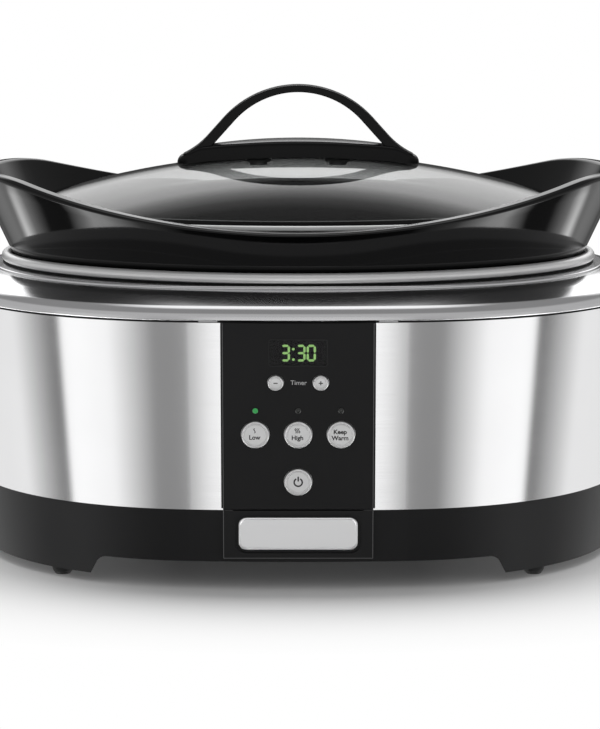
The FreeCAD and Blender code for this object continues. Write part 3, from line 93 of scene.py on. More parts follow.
def put_down_all() -> None:
    """Leave edit mode and deselect everything."""
    if bpy.context.mode != "OBJECT":
        bpy.ops.object.mode_set(mode="OBJECT")
    bpy.ops.object.select_all(action="DESELECT")


def pick(piece: bpy.types.Object) -> None:
    """Select one piece alone and make it active.

    Args:
        piece: The piece.
    """
    put_down_all()
    piece.select_set(True)
    bpy.context.view_layer.objects.active = piece


def named(name: str) -> bpy.types.Object:
    """Name the object that an operator has just added, and return it.

    Args:
        name: Its name, and its data's.

    Returns:
        The object.
    """
    piece = bpy.context.object
    piece.name = name
    piece.data.name = name
    return piece


@contextmanager
def editing(piece: bpy.types.Object, mode: str = "VERT") -> Iterator[None]:
    """Hold a piece in edit mode.

    Args:
        piece: The mesh to work on.
        mode: What is selected there: VERT, EDGE or FACE.
    """
    pick(piece)
    bpy.ops.object.mode_set(mode="EDIT")
    bpy.ops.mesh.select_mode(type=mode)
    yield
    bpy.ops.object.mode_set(mode="OBJECT")


def apply_modifier(piece: bpy.types.Object, kind: str, **settings: Any) -> None:
    """Add a modifier to a piece and apply it.

    Args:
        piece: The piece to change.
        kind: The modifier's type.
        settings: Its properties.
    """
    pick(piece)
    modifier = piece.modifiers.new(kind.title(), kind)
    for key, value in settings.items():
        setattr(modifier, key, value)
    bpy.ops.object.modifier_apply(modifier=modifier.name)


def clean(piece: bpy.types.Object) -> None:
    """Close the seams of a piece and turn its faces outwards.

    Args:
        piece: The piece.
    """
    with editing(piece):
        bpy.ops.mesh.select_all(action="SELECT")
        bpy.ops.mesh.remove_doubles(threshold=SEAM)
        bpy.ops.mesh.normals_make_consistent(inside=False)


def smooth(piece: bpy.types.Object, sharp: float = 40.0) -> None:
    """Shade a piece smoothly, led by its large faces.

    Args:
        piece: The piece to shade.
        sharp: Degrees above which an edge stays crisp.
    """
    pick(piece)
    bpy.ops.object.shade_smooth_by_angle(angle=math.radians(sharp))
    apply_modifier(piece, "WEIGHTED_NORMAL", mode="FACE_AREA", weight=FACE_LEAD, keep_sharp=True)


def move_points(piece: bpy.types.Object, where: Callable[[Vector], Vector]) -> None:
    """Move every vertex of a piece to the place that a function gives for it.

    Args:
        piece: The piece to change.
        where: Gives a vertex's new place from its old one.
    """
    for vertex in piece.data.vertices:
        vertex.co = where(vertex.co)
    piece.data.update()


def set_down(piece: bpy.types.Object, place: Matrix) -> None:
    """Put a piece in its place and keep the place in its mesh.

    Args:
        piece: The piece, about the origin.
        place: Where it goes.
    """
    pick(piece)
    piece.matrix_world = place
    bpy.ops.object.transform_apply(location=True, rotation=True, scale=True)


def join(name: str, parts: Sequence[bpy.types.Object]) -> bpy.types.Object:
    """Make several meshes into one piece.

    Args:
        name: The joined piece's name.
        parts: The meshes, of which the first is kept; one alone is only named.

    Returns:
        The joined piece.
    """
    pick(parts[0])
    for part in parts:
        part.select_set(True)
    if len(parts) > 1:
        bpy.ops.object.join()
    return named(name)


def copy_of(piece: bpy.types.Object, name: str) -> bpy.types.Object:
    """Copy a piece, with a mesh of its own.

    Args:
        piece: The piece to copy.
        name: The copy's name.

    Returns:
        The copy.
    """
    pick(piece)
    bpy.ops.object.duplicate()
    return named(name)


def cut_away(piece: bpy.types.Object, cutter: bpy.types.Object) -> None:
    """Cut one mesh out of another, and throw the cutter away."""
    apply_modifier(piece, "BOOLEAN", operation="DIFFERENCE", object=cutter, solver="EXACT")
    bpy.data.objects.remove(cutter, do_unlink=True)


def block(name: str, size: Size, rounding: float, segments: int) -> bpy.types.Object:
    """Make a block with rounded edges.

    Args:
        name: The new piece's name.
        size: Its width, length and depth.
        rounding: How far a rounding reaches from its edge.
        segments: How many faces a rounding has across.

    Returns:
        The block, about the origin.
    """
    put_down_all()
    bpy.ops.mesh.primitive_cube_add(size=1.0)
    piece = named(name)
    with editing(piece, "EDGE"):
        bpy.ops.mesh.select_all(action="SELECT")
        bpy.ops.transform.resize(value=size)
        bpy.ops.mesh.bevel(offset=rounding, segments=segments, affect="EDGES")
    smooth(piece, sharp=35.0)
    return piece


def flat_plate(name: str, width: float, height: float, corner: float, segments: int) -> bpy.types.Object:
    """Make a flat plate with rounded or clipped corners.

    Args:
        name: The new piece's name.
        width: Its size across.
        height: Its size up.
        corner: How far a corner reaches along its sides.
        segments: How many chords a corner is drawn with.

    Returns:
        The plate, about the origin.
    """
    put_down_all()
    bpy.ops.mesh.primitive_plane_add(size=1.0)
    piece = named(name)
    with editing(piece):
        bpy.ops.mesh.select_all(action="SELECT")
        bpy.ops.transform.resize(value=(width, height, 1))
        bpy.ops.mesh.bevel(offset=corner, segments=segments, affect="VERTICES")
    return piece


def arc(centre: Point, radius: float, start: float, end: float, steps: int) -> list[Point]:
    """Points along an arc.

    Args:
        centre: The arc's centre.
        radius: Its radius.
        start: The first point's angle in degrees.
        end: The last point's angle in degrees.
        steps: How many chords it is drawn with.

    Returns:
        The points in order, both ends among them.
    """
    angles = [math.radians(start + (end - start) * step / steps) for step in range(steps + 1)]
    return [(centre[0] + radius * math.cos(angle), centre[1] + radius * math.sin(angle))
            for angle in angles]


def soften(corners: Sequence[Corner], steps: int = 5) -> list[Point]:
    """Round the corners of an open profile.

    Args:
        corners: Each corner's place across and up, and the radius of its rounding.
        steps: How many chords a rounding is drawn with.

    Returns:
        The profile's points in order.
    """
    points = [corners[0][:2]]
    for before, corner, after in zip(corners, corners[1:], corners[2:]):
        middle = Vector(corner[:2])
        back = (Vector(before[:2]) - middle).normalized()
        ahead = (Vector(after[:2]) - middle).normalized()
        half = back.angle(ahead) / 2
        reach = corner[2] / math.tan(half)
        if corner[2] == 0 or math.pi / 2 - half < STRAIGHT:
            points.append(corner[:2])
            continue
        centre = middle + (back + ahead).normalized() * corner[2] / math.sin(half)
        first = middle + back * reach - centre
        last = middle + ahead * reach - centre
        turn = first.angle_signed(last)
        for step in range(steps + 1):
            spoke = first @ Matrix.Rotation(turn * step / steps, 2)
            points.append(tuple(centre + spoke))
    points.append(corners[-1][:2])
    return points


def divide(points: Sequence[Point], longest: float) -> list[Point]:
    """Split a profile's long runs.

    Args:
        points: The profile.
        longest: No run stays longer than this.

    Returns:
        The profile with points added along its runs.
    """
    divided = [points[0]]
    for start, end in zip(points, points[1:]):
        count = max(1, math.ceil(math.dist(start, end) / longest))
        for step in range(1, count + 1):
            share = step / count
            divided.append(tuple(first + (last - first) * share for first, last in zip(start, end)))
    return divided


def draw_line(name: str, points: Sequence[Vector]) -> bpy.types.Object:
    """Draw an open chain of edges.

    Args:
        name: The new mesh's name.
        points: The places that the chain goes through.

    Returns:
        The chain, with no faces.
    """
    put_down_all()
    bpy.ops.mesh.primitive_plane_add(size=0.001)
    piece = named(name)
    with editing(piece):
        bpy.ops.mesh.select_all(action="SELECT")
        bpy.ops.mesh.merge(type="CENTER")
        bpy.ops.transform.translate(value=points[0])
        for start, end in zip(points, points[1:]):
            bpy.ops.mesh.extrude_region_move(TRANSFORM_OT_translate={"value": end - start})
    return piece


@dataclass(frozen=True)
class Ring:
    """One level ellipse of a piece that is raised ring by ring."""

    half_length: float
    half_depth: float
    height: float


def rings_about(line: Point, profile: Sequence[Point]) -> list[Ring]:
    """The rings that a profile makes about an ellipse.

    Args:
        line: The ellipse's half length and half depth.
        profile: Points of distance out from the ellipse, and height.

    Returns:
        One ring for each point.
    """
    return [Ring(line[0] + out, line[1] + out, height) for out, height in profile]


def raise_rings(name: str, rings: Sequence[Ring], segments: int,
                closed_ends: bool = True) -> bpy.types.Object:
    """Raise a shell ring by ring from its first ellipse.

    Args:
        name: The new piece's name.
        rings: The ellipses in order.
        segments: How many vertices go round.
        closed_ends: Whether the first and the last ring are filled.

    Returns:
        The shell, with its faces turned outwards.
    """
    put_down_all()
    fill = "TRIFAN" if closed_ends else "NOTHING"
    bpy.ops.mesh.primitive_circle_add(vertices=segments, radius=1.0, fill_type=fill)
    piece = named(name)
    with editing(piece, "EDGE"):
        bpy.ops.mesh.select_all(action="SELECT")
        bpy.ops.transform.resize(value=(rings[0].half_length, rings[0].half_depth, 1))
        bpy.ops.transform.translate(value=(0, 0, rings[0].height))
        if closed_ends:
            bpy.ops.mesh.region_to_loop()
        for last, ring in zip(rings, rings[1:]):
            rise = (0, 0, ring.height - last.height)
            bpy.ops.mesh.extrude_edges_move(TRANSFORM_OT_translate={"value": rise})
            widen = (ring.half_length / last.half_length, ring.half_depth / last.half_depth, 1)
            bpy.ops.transform.resize(value=widen)
        if closed_ends:
            bpy.ops.mesh.extrude_edges_move()
            bpy.ops.mesh.merge(type="CENTER")
    clean(piece)
    return piece


# Shader tools


class Value:
    """A node's output that sums can be written with."""

    def __init__(self, bench: NodeBench, socket: bpy.types.NodeSocket) -> None:
        """Wrap a socket of a bench's node."""
        self.bench = bench
        self.socket = socket

    def __add__(self, other: Value | float) -> Value:
        """Add."""
        return self.bench.sum("ADD", self, other)

    __radd__ = __add__

    def __sub__(self, other: Value | float) -> Value:
        """Take away."""
        return self.bench.sum("SUBTRACT", self, other)

    def __rsub__(self, other: float) -> Value:
        """Take this away from a number."""
        return self.bench.sum("SUBTRACT", other, self)

    def __mul__(self, other: Value | float) -> Value:
        """Multiply."""
        return self.bench.sum("MULTIPLY", self, other)

    __rmul__ = __mul__

    def __truediv__(self, other: Value | float) -> Value:
        """Divide."""
        return self.bench.sum("DIVIDE", self, other)


class NodeBench:
    """Adds nodes to one tree."""

    def __init__(self, tree: bpy.types.NodeTree) -> None:
        """Take a tree and empty it."""
        self.tree = tree
        tree.nodes.clear()

    def _add(self, kind: str, settings: dict[str, Any], sockets: dict[str | int, Any]) -> bpy.types.Node:
        """Add a node and set it up.

        Args:
            kind: The node's type, without its usual prefix.
            settings: Its properties.
            sockets: Numbers, colours or outputs of other nodes for its inputs.

        Returns:
            The node.
        """
        node = self.tree.nodes.new(f"ShaderNode{kind}")
        for key, value in settings.items():
            setattr(node, key, value)
        for key, value in sockets.items():
            if isinstance(value, Value):
                self.tree.links.new(value.socket, node.inputs[key])
            else:
                node.inputs[key].default_value = value
        return node

    def node(self, kind: str, sockets: dict[str | int, Any] | None = None, output: str | int = 0,
             **settings: Any) -> Value:
        """Add a node whose output is wanted.

        Args:
            kind: The node's type, without its usual prefix.
            sockets: Numbers, colours or outputs of other nodes for its inputs.
            output: Which of its outputs is wanted.
            settings: Its properties.

        Returns:
            That output.
        """
        return Value(self, self._add(kind, settings, sockets or {}).outputs[output])

    def end(self, kind: str, surface: Value) -> None:
        """End the tree with its output node."""
        self._add(kind, {}, {"Surface": surface})

    def ramp(self, value: Value, stops: Stops) -> Value:
        """A level that follows a value along its stops.

        Args:
            value: What is looked up, from nought to one.
            stops: The ramp's stops in order, as (place, level).

        Returns:
            The level.
        """
        node = self._add("ValToRGB", {}, {"Fac": value})
        elements = node.color_ramp.elements
        while len(elements) < len(stops):
            elements.new(1.0)
        for element, (place, level) in zip(elements, stops):
            element.position = place
            element.color = rgba(WHITE, level)
        return Value(self, node.outputs[0])

    def split(self, vector: Value) -> list[Value]:
        """The three parts of a vector."""
        node = self._add("SeparateXYZ", {}, {"Vector": vector})
        return [Value(self, socket) for socket in node.outputs]

    def sum(self, operation: str, first: Value | float, second: Value | float = 0.0) -> Value:
        """Add a node of arithmetic and return its result."""
        return self.node("Math", {0: first, 1: second}, operation=operation)

    def clamp(self, value: Value) -> Value:
        """Keep a value between nought and one."""
        return self.node("Clamp", {"Value": value})

    def blend(self, share: Value | float, first: Any, second: Any) -> Value:
        """Mix two colours by a share of the second."""
        return self.node("Mix", {0: share, 6: first, 7: second}, 2, data_type="RGBA")

    def place(self, stretch: Size = (1.0, 1.0, 1.0)) -> Value:
        """Places on the object, stretched along its axes."""
        spot = self.node("TexCoord", output="Object")
        return self.node("Mapping", {"Vector": spot, "Scale": stretch})

    def noise(self, scale: float, stretch: Size = (1.0, 1.0, 1.0), detail: float = 3.0) -> Value:
        """Cloudy noise over the object, about one half."""
        return self.node("TexNoise", {"Vector": self.place(stretch), "Scale": scale, "Detail": detail})

    @staticmethod
    def swing(noise: Value, amount: float) -> Value:
        """What a noise adds to a level: nought on average, with the amount as its whole swing."""
        return (noise - NOISE_MIDDLE) * amount

    def bump(self, height: Value, depth: float) -> Value:
        """Relief from a height that goes from nought to one, as deep as is given in metres."""
        return self.node("Bump", {"Height": height, "Distance": depth, "Strength": 1.0})

    def light_path(self, ray: str) -> Value:
        """One for rays of the kind named, and nought for others."""
        return self.node("LightPath", output=f"Is {ray} Ray")

    def surface(self, sockets: dict[str, Any]) -> None:
        """End a material with its main shader."""
        self.end("OutputMaterial", self.node("BsdfPrincipled", sockets))


def rgba(colour: Colour, level: float = 1.0) -> tuple[float, float, float, float]:
    """A colour as a socket takes it, made lighter or darker."""
    return (colour[0] * level, colour[1] * level, colour[2] * level, 1.0)


# Finishes


class Brush(Enum):
    """Which way the fine lines in a metal run, as the stretch of their noise."""

    ROUND = (25.0, 25.0, 2600.0)
    ALONG = (40.0, 2200.0, 2200.0)
    CLOUDY = (420.0, 420.0, 420.0)


@dataclass(frozen=True)
class Finish:
    """A finish that is made once and put on any number of pieces."""

    name: str
    colour: Colour

    def lay(self, bench: NodeBench) -> None:
        """Lay the finish's nodes."""
        raise NotImplementedError

    def shade(self, bench: NodeBench, share: Value, tones: Point) -> Value:
        """The finish's colour, going from its first tone to its second."""
        return bench.blend(share, rgba(self.colour, tones[0]), rgba(self.colour, tones[1]))

    def material(self) -> bpy.types.Material:
        """Make the material, or find it if it has been made.

        Returns:
            The material.
        """
        title = f"{self.name}_finish"
        found = bpy.data.materials.get(title)
        if found:
            return found
        made = bpy.data.materials.new(title)
        made.use_nodes = True
        made.diffuse_color = rgba(self.colour)
        self.lay(NodeBench(made.node_tree))
        return made

    def put_on(self, piece: bpy.types.Object) -> None:
        """Give a piece this finish all over.

        Args:
            piece: The piece to dress.
        """
        if not piece.material_slots:
            piece.data.materials.append(self.material())
        for slot in piece.material_slots:
            slot.material = self.material()


@dataclass(frozen=True)
class Metal(Finish):
    """Bare or satin-lacquered metal with fine lines and faint handling marks."""

    roughness: float
    brush: Brush
    line_depth: float = 2e-6
    unevenness: float = 0.06
    bareness: float = 1.0
    cloud_scale: float = 22.0
    cloud_gloss: float = 0.03
    tones: Point = (0.96, 1.03)

    def lay(self, bench: NodeBench) -> None:
        """Lay lines in roughness and relief, and clouds in tone.

        Args:
            bench: Where the material's nodes are added.
        """
        lines = bench.noise(1.0, self.brush.value, detail=4.0)
        clouds = bench.noise(self.cloud_scale, detail=2.0)
        lined = self.roughness + bench.swing(lines, self.unevenness)
        bench.surface({
            "Base Color": self.shade(bench, clouds, self.tones),
            "Metallic": self.bareness,
            "Roughness": lined + bench.swing(clouds, self.cloud_gloss),
            "Normal": bench.bump(lines, self.line_depth),
        })


@dataclass(frozen=True)
class Moulding(Finish):
    """Moulded plastic or rubber with a fine spark-eroded grain."""

    roughness: float
    grain_scale: float = 1800.0
    grain_depth: float = 8e-6
    sheen: float = 0.5
    grain_gloss: float = 0.12
    cloud_scale: float = 30.0
    cloud_gloss: float = 0.06
    tones: Point = (0.88, 1.12)

    def lay(self, bench: NodeBench) -> None:
        """Lay the grain in relief and gloss, and soft clouds in tone.

        Args:
            bench: Where the material's nodes are added.
        """
        grain = bench.noise(self.grain_scale, detail=2.0)
        clouds = bench.noise(self.cloud_scale)
        grained = self.roughness + bench.swing(grain, self.grain_gloss)
        bench.surface({
            "Base Color": self.shade(bench, clouds, self.tones),
            "Roughness": grained + bench.swing(clouds, self.cloud_gloss),
            "Specular IOR Level": self.sheen,
            "Normal": bench.bump(grain, self.grain_depth),
        })


@dataclass(frozen=True)
class Glaze(Finish):
    """Gloss glaze over stoneware, with the faint waviness of a fired surface."""

    roughness: float = 0.06
    sheen: float = 0.36
    wave_scale: float = 55.0
    wave_depth: float = 2.5e-5
    pit_scale: float = 900.0
    pit_gloss: float = 0.05
    tones: Point = (0.8, 1.2)

    def lay(self, bench: NodeBench) -> None:
        """Lay slow waves in relief and tiny pits in gloss.

        Args:
            bench: Where the material's nodes are added.
        """
        waves = bench.noise(self.wave_scale, detail=1.0)
        pits = bench.noise(self.pit_scale, detail=1.0)
        bench.surface({
            "Base Color": self.shade(bench, waves, self.tones),
            "Roughness": self.roughness + bench.swing(pits, self.pit_gloss),
            "Specular IOR Level": self.sheen,
            "Normal": bench.bump(waves, self.wave_depth),
        })


@dataclass(frozen=True)
class ClearGlass(Finish):
    """Clear tempered glass with barely seen smears."""

    refraction: float = 1.5
    smear_scale: float = 16.0
    smear_stretch: Size = (1.0, 1.0, 3.0)
    smear_start: float = 0.55
    smear_gloss: float = 0.03

    def lay(self, bench: NodeBench) -> None:
        """Lay smears in the gloss of clear glass.

        Args:
            bench: Where the material's nodes are added.
        """
        smears = bench.noise(self.smear_scale, self.smear_stretch, detail=4.0)
        bench.surface({
            "Base Color": rgba(self.colour),
            "Roughness": bench.clamp((smears - self.smear_start) * self.smear_gloss),
            "IOR": self.refraction,
            "Transmission Weight": 1.0,
        })


@dataclass(frozen=True)
class Tint(Finish):
    """Dark tinted window that lets the light behind it through."""

    cover: float
    roughness: float = 0.1
    sheen: float = 0.12
    cloud_scale: float = 60.0
    cloud_gloss: float = 0.06
    tones: Point = (0.85, 1.15)

    def lay(self, bench: NodeBench) -> None:
        """Lay a dark gloss that covers only in part.

        Args:
            bench: Where the material's nodes are added.
        """
        clouds = bench.noise(self.cloud_scale)
        bench.surface({
            "Base Color": self.shade(bench, clouds, self.tones),
            "Roughness": self.roughness + clouds * self.cloud_gloss,
            "Specular IOR Level": self.sheen,
            "Alpha": self.cover,
        })


@dataclass(frozen=True)
class Glow(Finish):
    """A lit segment or lamp, a little brighter in some places than in others."""

    strength: float
    roughness: float = 0.25
    cloud_scale: float = 700.0
    cloud_gloss: float = 0.1
    body_tone: float = 0.5
    tones: Point = (0.8, 1.15)

    def lay(self, bench: NodeBench) -> None:
        """Lay a glow that varies a little from place to place.

        Args:
            bench: Where the material's nodes are added.
        """
        clouds = bench.noise(self.cloud_scale, detail=1.0)
        bench.surface({
            "Base Color": rgba(self.colour, self.body_tone),
            "Roughness": self.roughness + clouds * self.cloud_gloss,
            "Emission Color": self.shade(bench, clouds, self.tones),
            "Emission Strength": self.strength,
        })


@dataclass(frozen=True)
class Woven(Finish):
    """Woven glass-fibre sleeve."""

    roughness: float = 0.85
    thread_scale: float = 260.0
    thread_depth: float = 2e-4
    thread_gloss: float = 0.1
    tones: Point = (0.6, 1.0)

    def lay(self, bench: NodeBench) -> None:
        """Lay crossing threads in tone and relief.

        Args:
            bench: Where the material's nodes are added.
        """
        weave = {"Vector": bench.place(), "Scale": self.thread_scale}
        warp = bench.node("TexWave", weave, bands_direction="Z")
        weft = bench.node("TexWave", weave, bands_direction="X")
        threads = (warp + weft) / 2.0
        bench.surface({
            "Base Color": self.shade(bench, threads, self.tones),
            "Roughness": self.roughness - threads * self.thread_gloss,
            "Normal": bench.bump(threads, self.thread_depth),
        })


@dataclass(frozen=True)
class Board(Finish):
    """Circuit board with copper tracks under green lacquer."""

    roughness: float = 0.42
    track_scale: float = 160.0
    track_stops: Stops = ((0.04, 1.0), (0.09, 0.0))
    track_depth: float = 3e-5
    tones: Point = (1.0, 1.9)

    def lay(self, bench: NodeBench) -> None:
        """Lay tracks as a lighter pattern under the lacquer.

        Args:
            bench: Where the material's nodes are added.
        """
        cells = bench.node("TexVoronoi", {"Vector": bench.place(), "Scale": self.track_scale}, "Distance",
                           feature="DISTANCE_TO_EDGE")
        tracks = bench.ramp(cells, self.track_stops)
        bench.surface({
            "Base Color": self.shade(bench, tracks, self.tones),
            "Roughness": self.roughness,
            "Normal": bench.bump(tracks, self.track_depth),
        })


BAND_STEEL = Metal("band_steel", (0.74, 0.74, 0.745), 0.13, Brush.ROUND)
SHOULDER_STEEL = Metal("shoulder_steel", (0.72, 0.72, 0.73), 0.14, Brush.CLOUDY, 5e-7, 0.03)
BEAD_METAL = Metal("bead_metal", (0.97, 0.97, 0.972), 0.34, Brush.CLOUDY, 5e-7, bareness=0.6)
WELL_METAL = Metal("well_metal", (0.6, 0.6, 0.59), 0.42, Brush.CLOUDY, 1e-5, 0.2)
FUSE_METAL = Metal("fuse_metal", (0.7, 0.7, 0.7), 0.35, Brush.ALONG)
ZINC = Metal("zinc_plate", (0.62, 0.62, 0.63), 0.34, Brush.CLOUDY, 4e-6, 0.15)
BADGE_METAL = Metal("badge_metal", (0.8, 0.8, 0.805), 0.3, Brush.ALONG, 3e-6)
SILVER_LACQUER = Metal("silver_lacquer", (0.8, 0.8, 0.8), 0.36, Brush.CLOUDY, 1e-6)
CORE_VARNISH = Moulding("core_varnish", (0.2, 0.19, 0.17), 0.4)
BASE_PLASTIC = Moulding("base_plastic", (0.013, 0.013, 0.0135), 0.36, 1500.0, 1.2e-5, 0.16)
PANEL_PLASTIC = Moulding("panel_plastic", (0.016, 0.016, 0.0165), 0.42, 2000.0, 8e-6, 0.12)
HANDLE_PLASTIC = Moulding("handle_plastic", (0.003, 0.003, 0.0032), 0.2, 700.0, 1.5e-6, 0.22)
SWITCH_PLASTIC = Moulding("switch_plastic", (0.03, 0.03, 0.03), 0.5)
MODULE_PLASTIC = Moulding("module_plastic", (0.013, 0.013, 0.013), 0.5)
RUBBER = Moulding("foot_rubber", (0.02, 0.02, 0.02), 0.75, 1200.0, 2e-5, 0.3)
# Near-black for the ring of painted shade under the trim bead.
SHADE_RING_BLACK = Moulding("painted_shade_black", (0.004, 0.004, 0.004), 0.6, 1200.0, 4e-6, 0.2)
PALE_SILICONE = Moulding("pale_silicone", (0.72, 0.72, 0.71), 0.5)
DARK_INK = Moulding("dark_ink", (0.02, 0.02, 0.02), 0.55)
PALE_INK = Moulding("pale_ink", (0.5, 0.5, 0.5), 0.55)
CROCK_GLAZE = Glaze("crock_glaze", (0.0014, 0.0014, 0.0015))
LID_GLASS = ClearGlass("lid_glass", (0.97, 0.985, 0.98))
GROUND_EDGE = Moulding("ground_edge", (0.8, 0.81, 0.81), 0.3, 900.0, 4e-6)
WINDOW_TINT = Tint("window_tint", (0.012, 0.012, 0.0125), 0.75)
LIT_SEGMENT = Glow("lit_segment", (0.55, 1.0, 0.33), 7.5)
LIT_LAMP = Glow("lit_lamp", (0.05, 0.5, 0.12), 0.25)
# Lighter grey for the strips of painted highlight along the panel's edges.
EDGE_HIGHLIGHT = Moulding("painted_edge_highlight", (0.1, 0.1, 0.101), 0.3, 2000.0, 2e-6)
UNLIT_LAMP = Moulding("unlit_lamp", (0.025, 0.027, 0.025), 0.2)
HEATER_SLEEVE = Woven("heater_sleeve", (0.72, 0.7, 0.64))
CIRCUIT_BOARD = Board("circuit_board", (0.03, 0.16, 0.06))

SLOT_FINISHES = {
    "black_plastic": BASE_PLASTIC,
    "rubber": RUBBER,
    "stainless_band": BAND_STEEL,
    "chrome_shoulder": SHOULDER_STEEL,
    "satin_bead": BEAD_METAL,
    "well_metal": WELL_METAL,
    "heater_sleeve": HEATER_SLEEVE,
    "fuse_can": FUSE_METAL,
    "zinc_steel": ZINC,
    "panel_plastic": PANEL_PLASTIC,
    "display_tint": WINDOW_TINT,
    "display_module": MODULE_PLASTIC,
    "lamp_lens": UNLIT_LAMP,
    "circuit_board": CIRCUIT_BOARD,
    "switch_plastic": SWITCH_PLASTIC,
    "transformer_core": CORE_VARNISH,
    "silver_button": SILVER_LACQUER,
    "badge_metal": BADGE_METAL,
    "glazed_stoneware": CROCK_GLAZE,
    "lid_glass": LID_GLASS,
    "handle_plastic": HANDLE_PLASTIC,
}


def settle(piece: bpy.types.Object, body: str, slot: str, finish: Finish | None = None,
           nodes: Sequence[str] = ()) -> None:
    """Give a finished piece its finish, its body and the nodes that it stands for.

    Args:
        piece: The piece, in its place.
        body: The body that it moves with.
        slot: The record's material slot.
        finish: Its finish, if not the slot's own.
        nodes: The solids that it stands for.
    """
    (finish or SLOT_FINISHES[slot]).put_on(piece)
    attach(piece, body)
    if nodes:
        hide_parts(*nodes)
    LOG.info("%s rides on %s with %d faces", piece.name, body, len(piece.data.polygons))


# Sub-assemblies


@dataclass(frozen=True)
class OvalPlan:
    """The housing's plan: four arcs whose centres are the same at every height."""

    side_offset: float = 0.045
    front_offset: float = 0.480
    top_radius: float = 0.145
    top_height: float = 0.141
    lean: float = math.radians(6)
    front_steps: int = 10
    side_steps: int = 84

    @property
    def front_extra(self) -> float:
        """How much further the front lies from the middle than the side-arc radius."""
        return math.hypot(self.side_offset, self.front_offset) - self.front_offset

    @property
    def joint_turn(self) -> float:
        """Half the angle of a front or back arc."""
        return math.atan2(self.side_offset, self.front_offset)

    def wall_radius(self, height: float) -> float:
        """Side-arc radius of the leaning wall at a height."""
        return self.top_radius - (self.top_height - height) * math.tan(self.lean)

    def front_reach(self, radius: float) -> float:
        """Radius of the front arc that goes with a side-arc radius."""
        return self.front_offset + radius + self.front_extra

    def front_place(self, radius: float, turn: float, height: float) -> Vector:
        """Place on the front arc of a side-arc radius, at an angle to the right of the middle."""
        reach = self.front_reach(radius)
        return Vector((reach * math.sin(turn), self.front_offset - reach * math.cos(turn), height))

    def spin(self, name: str, profile: Sequence[Point], gap: float = 0.0) -> bpy.types.Object:
        """Carry a profile round the plan, starting at the middle of the front.

        Args:
            name: The new piece's name.
            profile: Points of side-arc radius and height.
            gap: Half the angle of a gap left at the front, about the front arc's centre.

        Returns:
            The sheet, with its faces turned outwards.
        """
        piece = draw_line(name, [self.front_place(radius, -gap, height) for radius, height in profile])
        short = self.joint_turn - gap
        side = math.pi - 2 * self.joint_turn
        runs = [
            (short, self.front_steps, (0, self.front_offset, 0)),
            (side, self.side_steps, (-self.side_offset, 0, 0)),
            (2 * self.joint_turn, 2 * self.front_steps, (0, -self.front_offset, 0)),
            (side, self.side_steps, (self.side_offset, 0, 0)),
            (short, self.front_steps, (0, self.front_offset, 0)),
        ]
        with editing(piece):
            bpy.ops.mesh.select_all(action="SELECT")
            for angle, steps, centre in runs:
                bpy.ops.mesh.spin(steps=steps, angle=angle, center=centre, axis=(0, 0, 1))
        clean(piece)
        return piece


